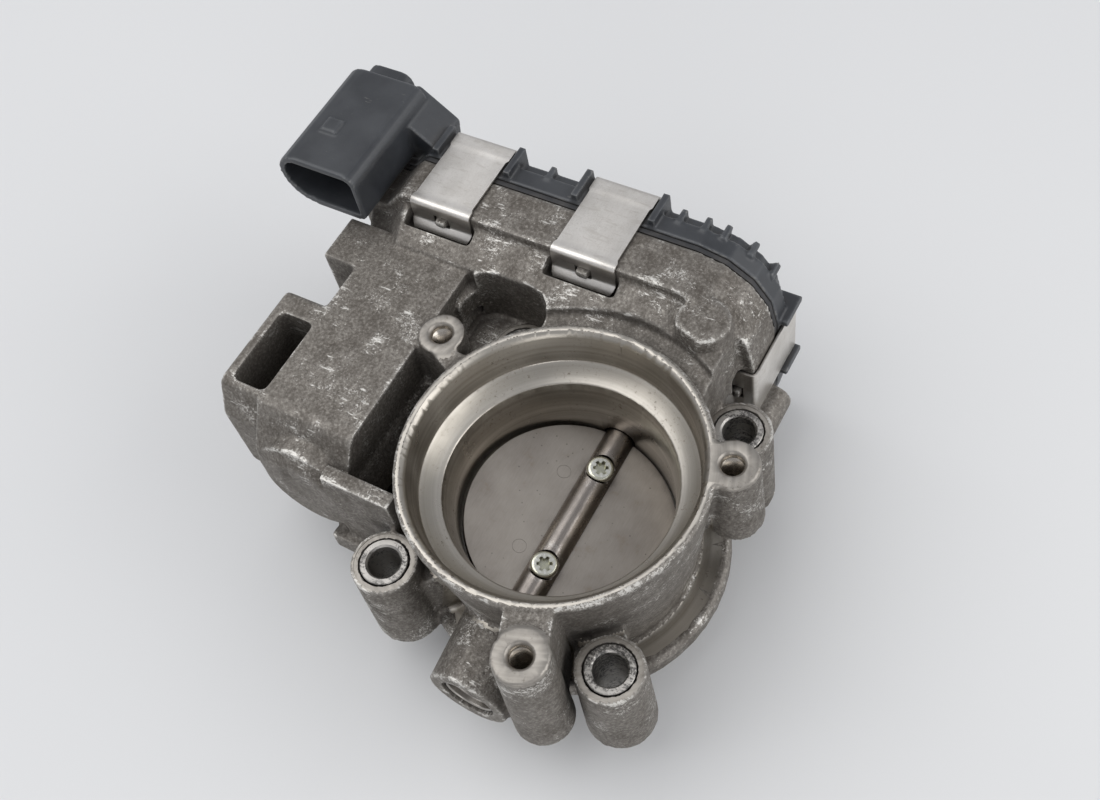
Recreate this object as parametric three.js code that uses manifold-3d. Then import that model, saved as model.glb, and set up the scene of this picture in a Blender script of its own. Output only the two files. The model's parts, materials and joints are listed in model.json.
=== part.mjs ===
// Electronic throttle body for a passenger-car petrol engine, in millimetres.
// Frame: origin on the bore axis at the manifold flange plane, +Z up the bore to the air inlet,
// +X along the throttle shaft to the gear cover, +Y across to the drive motor.
import * as THREE from "three";
import { mergeVertices } from "three/addons/utils/BufferGeometryUtils.js";
import Module from "manifold-3d";

const wasm = await Module();
wasm.setup();

// ---------------------------------------------------------------- driving dimensions
const BODY_HEIGHT = 45; // manifold flange plane to inlet rim
const BORE_R = 25.7; // throttle bore
const SHAFT_Z = 13.7; // throttle shaft axis above the flange plane
const SHAFT_R = 4;
const MOUNT_X = 32.3; // half the mounting screw pattern along X
const MOUNT_Y = 29.2; // and along Y
const MOUNT_FACE_Z = 27.6; // seat of the mounting screws
const MOTOR_Y = 58.5; // drive motor axis
const MOTOR_Z = 23;
const MOTOR_R = 13;
const CASE_TOP_Z = 51; // gear case, across its top
const CASE_NOSE_Y = -26; // and at its round end
const SEAL_PLANE_X = 60; // joint face of the gear case
const COVER_DEPTH = 8.7; // cover above its seal
const GEAR_MODULE = 1;
const SECTOR_TEETH = 46;
const SMALL_TEETH = 18; // intermediate gear, on the sector
const LARGE_TEETH = 44; // intermediate gear, on the motor pinion
const PINION_TEETH = 11;
const CLIP_WIDTH = 17.2;
const SLEEVE_BORE_R = 3.9;
const CONNECTOR_WIDTH = 24.2;
const CONNECTOR_HEIGHT = 15.5;
const CONNECTOR_LENGTH = 33.5;

// clearances
const FIT = 0.3; // between touching pieces
const RUN = 0.6; // round what turns
const BACKLASH = 0.3;

// throttle angles, in degrees from square across the bore
const CLOSED_ANGLE = 7;
const REST_ANGLE = 14;
const OPEN_SWEEP = 75; // rest to wide open
const CLOSE_SWEEP = REST_ANGLE - CLOSED_ANGLE;

// castings
const INLET_STEP = 7.8; // inlet register over the bore
const RIM_WIDTH = 2.7;
const FLANGE_WIDTH = 12.3; // manifold flange outside the bore
const FLANGE_THICK = 5;
const MOUNT_BOSS_R = 8;
const SLEEVE_WALL = 1.8;
const CASE_WALL = 2.6;
const CASE_BACK_X = MOUNT_X + MOUNT_BOSS_R - 2;
const CASE_FLOOR = 3; // wall between the case and the bore side
const CASE_SHOULDER = 12.5; // width of the case's outer band along X
const BARREL_WALL = 2.5;

const rad = THREE.MathUtils.degToRad;

// ---------------------------------------------------------------- values worked out from them
const inletR = BORE_R + INLET_STEP;
const rimR = inletR + RIM_WIDTH;
const flangeR = BORE_R + FLANGE_WIDTH;
const sleeveR = SLEEVE_BORE_R + SLEEVE_WALL;
const plateR = BORE_R - 0.25;
const caseInnerX = CASE_BACK_X + CASE_FLOOR;
const sectorR = (GEAR_MODULE * SECTOR_TEETH) / 2;
const smallR = (GEAR_MODULE * SMALL_TEETH) / 2;
const largeR = (GEAR_MODULE * LARGE_TEETH) / 2;
const pinionR = (GEAR_MODULE * PINION_TEETH) / 2;
const caseBottomZ = SHAFT_Z - sectorR - GEAR_MODULE - RUN - CASE_WALL;
const caseEndY = MOTOR_Y + MOTOR_R + BARREL_WALL + 10;
const motorFootZ = MOTOR_Z - MOTOR_R - 12; // bottom of the gear case at its motor end
const sealX = SEAL_PLANE_X + FIT;
const sealThick = 1.2;
const coverX = sealX + sealThick + FIT;
const coverFaceX = coverX + COVER_DEPTH;

// The intermediate gear's axis lies where both gear pairs mesh, on the upper side of the
// line from the throttle shaft to the motor.
function meshPoint() {
  const reach = Math.hypot(MOTOR_Y, MOTOR_Z - SHAFT_Z);
  const a = sectorR + smallR;
  const b = largeR + pinionR;
  const bend = Math.acos(Math.min(1, (a * a + reach * reach - b * b) / (2 * a * reach)));
  const angle = Math.atan2(MOTOR_Z - SHAFT_Z, MOTOR_Y) + bend;
  return { y: a * Math.cos(angle), z: SHAFT_Z + a * Math.sin(angle), angle };
}
const middle = meshPoint();
const pinionAngle = Math.atan2(MOTOR_Z - middle.z, MOTOR_Y - middle.y);

// planes along X inside the gear case
const largeGear = { x0: caseInnerX + 10.4, x1: caseInnerX + 15.4 };
const sectorPlane = { x0: largeGear.x1 + 1, x1: largeGear.x1 + 6.6 };
const bearingEndX = caseInnerX + 7.4;

// corners of the gear case seen along X: [y, z, radius]
const caseCorners = [
  [CASE_NOSE_Y, CASE_TOP_Z, 20],
  [CASE_NOSE_Y, caseBottomZ, 18],
  [sectorR, caseBottomZ, 12],
  [middle.y + largeR, motorFootZ, 10],
  [caseEndY, motorFootZ, 10],
  [caseEndY, CASE_TOP_Z - 6.5, 5],
  [MOTOR_Y + 17, CASE_TOP_Z - 6.5, 2],
  [MOTOR_Y + 11.5, CASE_TOP_Z, 3],
];

// ---------------------------------------------------------------- materials
const material = (color, roughness, metalness) =>
  new THREE.MeshStandardMaterial({ color, roughness, metalness });
const castAluminium = material(0x8c8680, 0.6, 0.7);
const blackPlastic = material(0x1c1f22, 0.55, 0);
const gearPlastic = material(0xd8d0bc, 0.5, 0);
const rubber = material(0x0c0c0c, 0.85, 0);
const stainless = material(0xb9b5ac, 0.32, 1);
const plateSteel = material(0x8b8780, 0.38, 1);
const darkSteel = material(0x5a5753, 0.35, 1);
const platedSteel = material(0x9a9678, 0.35, 1);
const springSteel = material(0x3c3b3a, 0.4, 1);
const brass = material(0xb08d4a, 0.35, 1);
const tinPlate = material(0xc9c7c0, 0.3, 1);
const ferrite = material(0x2b2a2a, 0.8, 0);
const boardGreen = material(0x1f4d33, 0.6, 0);
const copper = material(0x8e4a2a, 0.4, 0.9);

// ---------------------------------------------------------------- shapes and solids
function solid(geometry) {
  const bare = geometry.index ? geometry.toNonIndexed() : geometry.clone();
  bare.deleteAttribute("normal");
  bare.deleteAttribute("uv");
  const merged = mergeVertices(bare, 1e-4);
  return new wasm.Manifold(
    new wasm.Mesh({
      numProp: 3,
      vertProperties: merged.attributes.position.array,
      triVerts: new Uint32Array(merged.index.array),
    }),
  );
}

function geometryOf(shape) {
  const m = shape.getMesh();
  const geometry = new THREE.BufferGeometry();
  const points = new Float32Array(m.numVert * 3);
  for (let i = 0; i < m.numVert; i++) {
    points.set(m.vertProperties.subarray(i * m.numProp, i * m.numProp + 3), i * 3);
  }
  geometry.setAttribute("position", new THREE.BufferAttribute(points, 3));
  geometry.setIndex(new THREE.BufferAttribute(m.triVerts, 1));
  const flat = geometry.toNonIndexed();
  flat.computeVertexNormals();
  return flat;
}

const join = (...parts) => parts.flat().reduce((a, b) => a.add(b));
const cut = (body, ...tools) => tools.flat().reduce((a, b) => a.subtract(b), body);

// Sides of a round shape of radius r.
const facets = (r) => 4 * Math.round(1.9 * Math.sqrt(r));

function box(x0, x1, y0, y1, z0, z1) {
  const g = new THREE.BoxGeometry(x1 - x0, y1 - y0, z1 - z0);
  return solid(g.translate((x0 + x1) / 2, (y0 + y1) / 2, (z0 + z1) / 2));
}

// A closed ring or disc turned about the Z axis from [radius, z] points.
function turned(profile) {
  const points = [...profile, profile[0]].map(([r, z]) => new THREE.Vector2(r, z));
  if (THREE.ShapeUtils.area(points) < 0) points.reverse();
  const sides = facets(Math.max(...profile.map(([r]) => r)));
  return solid(new THREE.LatheGeometry(points, sides).rotateX(Math.PI / 2));
}

const alongX = (s) => s.rotate([0, 90, 0]);

function cylinderZ(r, z0, z1, x = 0, y = 0, topR = r) {
  const g = new THREE.CylinderGeometry(topR, r, z1 - z0, facets(r)).rotateX(Math.PI / 2);
  return solid(g.translate(x, y, (z0 + z1) / 2));
}

function cylinderX(r, x0, x1, y = 0, z = 0, farR = r) {
  const g = new THREE.CylinderGeometry(farR, r, x1 - x0, facets(r)).rotateZ(-Math.PI / 2);
  return solid(g.translate((x0 + x1) / 2, y, z));
}

function ringX(rOut, rIn, x0, x1, y = 0, z = 0) {
  return cylinderX(rOut, x0, x1, y, z).subtract(cylinderX(rIn, x0 - 1, x1 + 1, y, z));
}

// Points round a polygon whose corners [u, v, radius] are rounded.
function rounded(corners, stepDegrees = 22.5) {
  const n = corners.length;
  return corners.flatMap(([u, v, r], i) => {
    const [pu, pv] = corners[(i + n - 1) % n];
    const [nu, nv] = corners[(i + 1) % n];
    const a = new THREE.Vector2(u - pu, v - pv).normalize();
    const b = new THREE.Vector2(nu - u, nv - v).normalize();
    const turn = Math.atan2(a.cross(b), a.dot(b));
    const back = r * Math.tan(Math.abs(turn) / 2);
    const side = Math.sign(turn) || 1;
    const centre = new THREE.Vector2(u - a.x * back - a.y * side * r, v - a.y * back + a.x * side * r);
    const from = new THREE.Vector2(a.y, -a.x).multiplyScalar(side * r);
    const steps = Math.max(1, Math.ceil(Math.abs(turn) / rad(stepDegrees) - 0.01));
    return Array.from({ length: steps + 1 }, (_, k) =>
      from.clone().rotateAround(new THREE.Vector2(), (turn * k) / steps).add(centre),
    );
  });
}

// The same corners moved inwards, with each radius following.
function inset(corners, distance) {
  const n = corners.length;
  return corners.map(([u, v, r], i) => {
    const [pu, pv] = corners[(i + n - 1) % n];
    const [nu, nv] = corners[(i + 1) % n];
    const a = new THREE.Vector2(u - pu, v - pv).normalize();
    const b = new THREE.Vector2(nu - u, nv - v).normalize();
    const scale = distance / (1 + a.dot(b));
    const radius = Math.max(0.5, r - Math.sign(a.cross(b)) * distance);
    return [u - (a.y + b.y) * scale, v + (a.x + b.x) * scale, radius];
  });
}

const rectangle = (u0, u1, v0, v1, r) => [
  [u0, v1, r],
  [u0, v0, r],
  [u1, v0, r],
  [u1, v1, r],
];

// Extrusions of outlines: YZ along X, XZ along Y, XY along Z.
function extrude(points, depth) {
  const shape = new THREE.Shape(points);
  return new THREE.ExtrudeGeometry(shape, { depth, bevelEnabled: false });
}
const toX = new THREE.Matrix4().set(0, 0, 1, 0, 1, 0, 0, 0, 0, 1, 0, 0, 0, 0, 0, 1);
const extrudeX = (points, x0, x1) => solid(extrude(points, x1 - x0).applyMatrix4(toX).translate(x0, 0, 0));
const extrudeY = (points, y0, y1) => solid(extrude(points, y1 - y0).rotateX(Math.PI / 2).translate(0, y1, 0));
const extrudeZ = (points, z0, z1) => solid(extrude(points, z1 - z0).translate(0, 0, z0));

// A body that runs from one YZ outline to another with the same count of points.
function loftX(pointsA, xA, pointsB, xB) {
  const n = pointsA.length;
  const vertices = [...pointsA.map((p) => [xA, p.x, p.y]), ...pointsB.map((p) => [xB, p.x, p.y])];
  const faces = [];
  for (let i = 0; i < n; i++) {
    const j = (i + 1) % n;
    faces.push([i, j, n + j], [i, n + j, n + i]);
  }
  for (const [a, b, c] of THREE.ShapeUtils.triangulateShape(pointsA, [])) {
    faces.push([a, c, b]);
    faces.push([n + a, n + b, n + c]);
  }
  const geometry = new THREE.BufferGeometry();
  geometry.setAttribute("position", new THREE.Float32BufferAttribute(vertices.flat(), 3));
  geometry.setIndex(faces.flat());
  return solid(geometry);
}

// ---------------------------------------------------------------- gears
// Points of an involute gear's tooth, centred on `angle`, from root to tip to root.
function toothPoints(teeth, angle) {
  const pressure = rad(22);
  const pitchR = (GEAR_MODULE * teeth) / 2;
  const baseR = pitchR * Math.cos(pressure);
  const tipR = pitchR + 0.9 * GEAR_MODULE;
  const rootR = pitchR - 1.2 * GEAR_MODULE;
  const involute = (r) => {
    const phi = Math.acos(Math.min(1, baseR / r));
    return Math.tan(phi) - phi;
  };
  const half = Math.PI / (2 * teeth) - BACKLASH / (4 * pitchR) + involute(pitchR);
  const radii = [0, 0.5, 1].map((t) => THREE.MathUtils.lerp(Math.max(baseR, rootR), tipR, t));
  const flank = radii.map((r) => [r, half - involute(r)]);
  if (baseR > rootR) flank.unshift([rootR, half]);
  const at = ([r, a]) => new THREE.Vector2(r * Math.cos(angle + a), r * Math.sin(angle + a));
  return [...flank.map(([r, a]) => at([r, -a])), ...flank.reverse().map(at)];
}

// A full gear about its own axis along X, with a tooth centred on `angle`.
function gearX(teeth, angle, x0, x1) {
  const points = [];
  for (let k = 0; k < teeth; k++) points.push(...toothPoints(teeth, angle + (2 * Math.PI * k) / teeth));
  return extrudeX(points, x0, x1);
}

// ---------------------------------------------------------------- scene graph
const throttleBody = new THREE.Group();

function add(name, shape, look, parent = throttleBody) {
  const piece = new THREE.Mesh(geometryOf(shape), look);
  piece.name = name;
  parent.add(piece);
  return piece;
}

// ---------------------------------------------------------------- throttle housing
const mountPoints = [
  [-MOUNT_X, MOUNT_Y],
  [-MOUNT_X, -MOUNT_Y],
  [MOUNT_X, -MOUNT_Y],
  [MOUNT_X, MOUNT_Y],
];
// threaded bosses of the inlet side: [angle, distance outside the rim, radius, foot height]
const ductBosses = [
  { angle: 65.3, out: 8.8, r: 5.7, foot: 12 },
  { angle: -67.4, out: 2.9, r: 6.2, foot: 22 },
  { angle: -159.3, out: 9.6, r: 6.4, foot: 9 },
].map((b) => {
  const reach = rimR + b.out;
  return { ...b, x: reach * Math.cos(rad(b.angle)), y: reach * Math.sin(rad(b.angle)) };
});
const THREAD_R = 2.5;
const THREAD_MOUTH_R = 3.25;
const THREAD_DEPTH = 18;

const tubeEndX = -(rimR + 12.5);
const farSeatR = SHAFT_R + 2.6;
const gearSeatR = SHAFT_R + 4.2;

function ringBody() {
  return turned(
    [
      [0, 0],
      [flangeR - 0.6, 0],
      [flangeR, 0.6],
      [flangeR, FLANGE_THICK - 1],
      [flangeR - 1, FLANGE_THICK],
      [BORE_R + 4.6, FLANGE_THICK + 0.4],
      [rimR - 0.4, BODY_HEIGHT - 3],
      [rimR, BODY_HEIGHT - 1],
      [rimR - 0.4, BODY_HEIGHT],
      [0, BODY_HEIGHT],
    ],
  );
}

// The stepped bore: register for the duct, shelf, throat and straight bore.
function boreCut() {
  return turned(
    [
      [0, -1],
      [BORE_R + 0.8, -1],
      [BORE_R, 1],
      [BORE_R, SHAFT_Z + 11.5],
      [BORE_R + 1.5, BODY_HEIGHT - 12.2],
      [inletR - 1.5, BODY_HEIGHT - 9.6],
      [inletR - 0.4, BODY_HEIGHT - 1.4],
      [inletR + 0.8, BODY_HEIGHT + 0.2],
      [inletR + 0.8, BODY_HEIGHT + 1],
      [0, BODY_HEIGHT + 1],
    ],
  );
}

// A flat web from a boss towards the bore axis.
function webTo(x, y, width, z0, z1) {
  const length = Math.hypot(x, y) - BORE_R - 4;
  const web = box(-length, 0, -width / 2, width / 2, z0, z1);
  return web.rotate([0, 0, THREE.MathUtils.radToDeg(Math.atan2(y, x))]).translate([x, y, 0]);
}

function mountBosses() {
  return mountPoints.flatMap(([x, y]) => [
    cylinderZ(MOUNT_BOSS_R + 0.5, 0, MOUNT_FACE_Z, x, y, MOUNT_BOSS_R),
    webTo(x, y, 11, 0, MOUNT_FACE_Z - 6),
  ]);
}

function inletBosses() {
  return ductBosses.flatMap((b) => [
    cylinderZ(b.r + 0.8, b.foot, BODY_HEIGHT, b.x, b.y, b.r),
    webTo(b.x, b.y, b.r * 1.7, b.foot + 4, BODY_HEIGHT - 0.8),
  ]);
}

function shaftBosses() {
  return [
    cylinderX(farSeatR + 3.2, tubeEndX, -BORE_R - 2, 0, SHAFT_Z, farSeatR + 4.6),
    cylinderX(gearSeatR + 3, BORE_R + 2, caseInnerX, 0, SHAFT_Z),
  ];
}

const motorTopZ = BODY_HEIGHT - 2;
const blockX0 = -14.5; // end of the flat top of the motor housing
const barrelX0 = blockX0 - 7.5;
const pocketOuterY = caseEndY + 0.8;
const motorSideY = MOTOR_Y + MOTOR_R + 1.5;

// The motor's barrel under a flat-topped block, with the open core pocket outside it.
function motorHousing() {
  const barrelR = MOTOR_R + BARREL_WALL;
  const channelY = MOTOR_Y - MOTOR_R;
  const profile = [
    [barrelX0, MOTOR_Z - 4, 3],
    [CASE_BACK_X + 3, MOTOR_Z - 4, 1],
    [CASE_BACK_X + 3, motorTopZ, 1],
    [blockX0, motorTopZ, 3],
    [barrelX0, motorTopZ - 12, 4],
  ];
  const outline = rounded([...profile], 30);
  const top = extrudeY(outline, channelY, motorSideY);
  const side = extrudeY(rounded([
    [blockX0 - 3, MOTOR_Z - MOTOR_R - 4, 6],
    [blockX0 + 30, MOTOR_Z - MOTOR_R - 4, 2],
    [blockX0 + 30, motorTopZ, 1.2],
    [blockX0 + 1, motorTopZ, 2],
    [blockX0 - 3, motorTopZ - 10, 3],
  ], 30), motorSideY - 3, pocketOuterY);
  const ledge = box(CASE_BACK_X - 10, CASE_BACK_X + 3, motorSideY - 3, pocketOuterY - 2,
    MOTOR_Z - 8, motorTopZ);
  const sole = box(barrelX0 + 3, CASE_BACK_X, MOTOR_Y - 6, MOTOR_Y + 6, MOTOR_Z - barrelR - 1.5, MOTOR_Z);
  return [
    cylinderX(barrelR, barrelX0, CASE_BACK_X + 3, MOTOR_Y, MOTOR_Z),
    cylinderX(barrelR - 4, barrelX0 - 2, barrelX0, MOTOR_Y, MOTOR_Z, barrelR - 0.5),
    top,
    side,
    ledge,
    sole,
  ];
}

// Material between the bore ring, the motor barrel and the gear case.
function bridges() {
  const fill = box(BORE_R - 4, CASE_BACK_X + 2, -MOUNT_Y + 7, MOUNT_Y + 14, 6, BODY_HEIGHT - 0.4);
  const motorWeb = box(-MOUNT_X + 8.5, -MOUNT_X + 12.5, MOUNT_Y + 2, MOTOR_Y - 8, 6, BODY_HEIGHT - 8);
  const backWeb = box(BORE_R - 14, BORE_R - 8, BORE_R + 5, MOTOR_Y - 6, 6, BODY_HEIGHT - 14);
  const tubeWeb = box(tubeEndX + 6, -BORE_R - 2, -2.2, 2.2, 1, SHAFT_Z);
  const floorWeb = box(-MOUNT_X + 6, BORE_R, BORE_R, MOTOR_Y - 4, 3, 9);
  return [fill, motorWeb, backWeb, tubeWeb, floorWeb];
}

function gearCaseOuter() {
  const pad = cylinderZ(7.5, BODY_HEIGHT - 20, CASE_TOP_Z - 1.6, bandX - 3.5, CASE_NOSE_Y + 10.5, 6.5);
  return [
    extrudeX(rounded(caseCorners), bandX, SEAL_PLANE_X),
    cylinderX(4.6, bandX - 3, SEAL_PLANE_X - 2, CASE_NOSE_Y - 1, SHAFT_Z - 8.5),
    loftX(rounded(inset(caseCorners, SLOPE_FALL)), CASE_BACK_X, rounded(inset(caseCorners, 2.5)), bandX),
    pad,
  ];
}

// Room that a clip's foot needs behind the band, and the lug that holds it.
const clipPlaces = [
  { y: MOTOR_Y - 1.2, z: CASE_TOP_Z, turn: 0 },
  { y: MOTOR_Y - 41.3, z: CASE_TOP_Z, turn: 0 },
  { y: CASE_NOSE_Y, z: (CASE_TOP_Z + caseBottomZ) / 2 + 1, turn: 90 },
];
const bandX = SEAL_PLANE_X - CASE_SHOULDER;
const CLIP_THICK = 0.6;
const CLIP_FALL = 6; // how far a clip's foot reaches down
const FOOT_ROOM = CLIP_FALL + 2.4;
const SLOPE_FALL = 7; // height of the case's sloping back
const atClip = (s, place) => s.rotate([place.turn, 0, 0]).translate([0, place.y, place.z]);

function clipRoom(place) {
  const half = CLIP_WIDTH / 2 + 1;
  return atClip(box(bandX - 4.5, bandX, -half, half, -FOOT_ROOM, 4), place);
}

// The gear room is full size in the band, and smaller behind the slope and the clips' feet.
function caseRooms() {
  const slopeEndX = bandX + CASE_FLOOR;
  return [
    extrudeX(rounded(inset(caseCorners, CASE_WALL)), slopeEndX, SEAL_PLANE_X + 1),
    extrudeX(rounded(inset(caseCorners, SLOPE_FALL + CASE_WALL)), caseInnerX, slopeEndX + 0.5)
      .subtract(box(caseInnerX - 1, slopeEndX, CASE_NOSE_Y, caseEndY, CASE_TOP_Z - FOOT_ROOM - 2, CASE_TOP_Z))
      .subtract(box(caseInnerX - 1, slopeEndX, CASE_NOSE_Y, CASE_NOSE_Y + FOOT_ROOM + 2,
        caseBottomZ, CASE_TOP_Z)),
  ];
}

function clipLug(place) {
  return atClip(box(bandX - 2.2, bandX + 1, -1.5, 1.5, -CLIP_FALL + 1, -CLIP_FALL + 3), place);
}

function pocketCut() {
  const y0 = motorSideY - 0.4;
  const corners = rectangle(blockX0 + 2.8, blockX0 + 23.8, y0, pocketOuterY - 2.4, 1.5);
  return extrudeZ(rounded(corners, 45), motorTopZ - 26, motorTopZ + 1);
}

// A low ledge round the rim where the casting rises to the gear case.
function ledge() {
  const ring = turned(
    [
      [rimR, BODY_HEIGHT - 3],
      [rimR + 4.6, BODY_HEIGHT - 2.4],
      [rimR + 5.4, CASE_TOP_Z + 1],
      [rimR, CASE_TOP_Z + 1],
    ],
  );
  return ring.intersect(box(BORE_R - 6, CASE_BACK_X + 6, -MOUNT_Y + 4, MOUNT_Y, 0, CASE_TOP_Z + 2));
}

// Room over the mounting screw between the rim, the motor and the gear case.
function screwRoom() {
  const corners = rectangle(MOUNT_X - 16, CASE_BACK_X + 1, MOUNT_Y - 8, MOTOR_Y - MOTOR_R - 1.2, 6);
  return extrudeZ(rounded(corners, 30), MOUNT_FACE_Z, CASE_TOP_Z + 1).subtract(ringKeep());
}

function throttleHousing() {
  let body = join(ringBody(), mountBosses(), inletBosses(), shaftBosses(), bridges(), motorHousing());
  const screwPosts = motorScrewPlaces.map(([y, z]) => cylinderX(4, CASE_BACK_X - 8, caseInnerX, y, z));
  body = join(body, gearCaseOuter(), screwPosts);
  body = cut(body, ledge(), screwRoom());
  body = cut(body, clipPlaces.map(clipRoom));
  body = cut(body, caseRooms());
  body = join(
    body,
    cylinderX(gearSeatR + 2, CASE_BACK_X, bearingEndX, 0, SHAFT_Z),
    cylinderX(5.5, CASE_BACK_X, largeGear.x0 - RUN, middle.y, middle.z),
    clipPlaces.map(clipLug),
  );
  body = cut(body, boreCut(), pocketCut());
  body = cut(body, cylinderX(MOTOR_R + FIT, motorBackX - 1.4, CASE_BACK_X + 8, MOTOR_Y, MOTOR_Z));
  body = cut(
    body,
    cylinderX(SHAFT_R + FIT, tubeEndX - 1, bearingEndX + 1, 0, SHAFT_Z),
    cylinderX(farSeatR, tubeEndX - 1, farBearing.x1 + FIT, 0, SHAFT_Z),
    cylinderX(gearSeatR, shaftSeal.x0 - FIT, bearingEndX + 1, 0, SHAFT_Z),
    cylinderX(PIN_R + FIT, CASE_BACK_X + 1, largeGear.x0 + 1, middle.y, middle.z),
  );
  body = cut(body, motorScrewPlaces.map(([y, z]) => cylinderX(1.8, CASE_BACK_X - 6, caseInnerX + 1, y, z)));
  for (const [x, y] of mountPoints) {
    body = cut(body, cylinderZ(sleeveR + FIT, -1, MOUNT_FACE_Z + 1, x, y));
    body = cut(body, cylinderZ(MOUNT_BOSS_R - 0.8, MOUNT_FACE_Z, CASE_TOP_Z + 1, x, y).subtract(ringKeep()));
  }
  return cut(body, ductBosses.map(threadedHole));
}

// The bore ring and the duct bosses, which a screw's room must not cut into.
function ringKeep() {
  return join(
    cylinderZ(rimR, 0, BODY_HEIGHT, 0, 0),
    ductBosses.map((b) => cylinderZ(b.r, 0, BODY_HEIGHT, b.x, b.y)),
  );
}

function threadedHole(b) {
  const hole = turned(
    [
      [0, BODY_HEIGHT - THREAD_DEPTH],
      [THREAD_R, BODY_HEIGHT - THREAD_DEPTH + 1],
      [THREAD_R, BODY_HEIGHT - 0.8],
      [THREAD_MOUTH_R, BODY_HEIGHT + 0.01],
      [THREAD_MOUTH_R, BODY_HEIGHT + 1],
      [0, BODY_HEIGHT + 1],
    ],
  );
  return hole.translate([b.x, b.y, 0]);
}

// ---------------------------------------------------------------- planes of the inner pieces
const PIN_R = 2.5;
const motorBackX = blockX0 - 2.2;
const motorFaceX = caseInnerX + FIT;
const farBearing = { x0: tubeEndX + 5.4, x1: tubeEndX + 13 };
const shaftSeal = { x0: CASE_BACK_X - 1.6, x1: caseInnerX - 0.2 };
const motorScrewPlaces = [-1, 1].map((side) => {
  const reach = (MOTOR_R + 4) * Math.SQRT1_2;
  return [MOTOR_Y + side * reach, MOTOR_Z - side * reach];
});

add("throttle_housing", throttleHousing(), castAluminium);

// ---------------------------------------------------------------- mounting sleeves
function mountSleeve(x, y) {
  const wall = turned(
    [
      [SLEEVE_BORE_R, 0.4],
      [SLEEVE_BORE_R + 0.4, 0],
      [sleeveR, 0],
      [sleeveR, MOUNT_FACE_Z + 0.1],
      [SLEEVE_BORE_R + 0.4, MOUNT_FACE_Z + 0.1],
      [SLEEVE_BORE_R, MOUNT_FACE_Z - 0.3],
    ],
  );
  return wall.translate([x, y, 0]);
}
mountPoints.forEach(([x, y], i) => add(`mount_sleeve_${i + 1}`, mountSleeve(x, y), darkSteel));

// ---------------------------------------------------------------- throttle shaft, plate and screws
const PLATE_THICK = 2;
const SCREW_R = 2;
const SCREW_HEAD_R = 3.4;
const SCREW_HEAD_HEIGHT = 1.7;
const screwX = [-13.4, 14.6];
const plateScrewSeat = SHAFT_R - 1.5; // bottom of the counterbore, from the shaft's axis
const sectorHubX = sectorPlane.x0 - 5.4;

// This group turns with the throttle: its own Z is square to the plate.
const spindle = new THREE.Group();
spindle.position.set(0, 0, SHAFT_Z);
spindle.rotation.x = rad(REST_ANGLE);
throttleBody.add(spindle);

function throttleShaft() {
  const rod = turned(
    [
      [0, farBearing.x0 - 1],
      [SHAFT_R - 0.5, farBearing.x0 - 1],
      [SHAFT_R, farBearing.x0 - 0.5],
      [SHAFT_R, sectorPlane.x1 - 0.5],
      [SHAFT_R - 0.5, sectorPlane.x1],
      [0, sectorPlane.x1],
    ],
  );
  const reach = plateR + FIT;
  const gap = PLATE_THICK / 2 + FIT;
  return cut(
    alongX(rod),
    box(-reach, reach, -SHAFT_R - 1, SHAFT_R + 1, -gap, gap),
    screwX.map((x) => cylinderZ(SCREW_HEAD_R + FIT, plateScrewSeat, SHAFT_R + 1, x, 0)),
    screwX.map((x) => cylinderZ(SCREW_R + FIT, -SHAFT_R - 1, SHAFT_R, x, 0)),
  );
}

// The plate's edge follows the bore when the throttle is closed.
function throttlePlate() {
  const bore = cylinderZ(plateR, -20, 20, 0, 0).rotate([-CLOSED_ANGLE, 0, 0]);
  const slab = box(-BORE_R - 2, BORE_R + 2, -BORE_R - 4, BORE_R + 4, -PLATE_THICK / 2, PLATE_THICK / 2);
  return cut(slab.intersect(bore), screwX.map((x) => cylinderZ(SCREW_R + FIT, -5, 5, x, 0)));
}

function plateScrew(x) {
  const under = plateScrewSeat + FIT / 2;
  const head = turned(
    [
      [0, under],
      [SCREW_HEAD_R, under],
      [SCREW_HEAD_R, under + SCREW_HEAD_HEIGHT * 0.55],
      [SCREW_HEAD_R - 1, under + SCREW_HEAD_HEIGHT],
      [0, under + SCREW_HEAD_HEIGHT + 0.15],
    ],
  );
  const shank = cylinderZ(SCREW_R, -SHAFT_R + 0.6, under + 0.2, 0, 0);
  const star = Array.from({ length: 24 }, (_, k) => {
    const angle = (2 * Math.PI * k) / 24;
    const r = 1.55 + 0.3 * Math.cos(6 * angle);
    return new THREE.Vector2(r * Math.cos(angle), r * Math.sin(angle));
  });
  const socket = extrudeZ(star, under + SCREW_HEAD_HEIGHT - 1.1, under + SCREW_HEAD_HEIGHT + 1);
  return cut(join(head, shank), socket).translate([x, 0, 0]);
}

add("throttle_shaft", throttleShaft(), darkSteel, spindle);
add("throttle_plate", throttlePlate(), plateSteel, spindle);
screwX.forEach((x, i) => add(`plate_screw_${i + 1}`, plateScrew(x), platedSteel, spindle));

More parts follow.
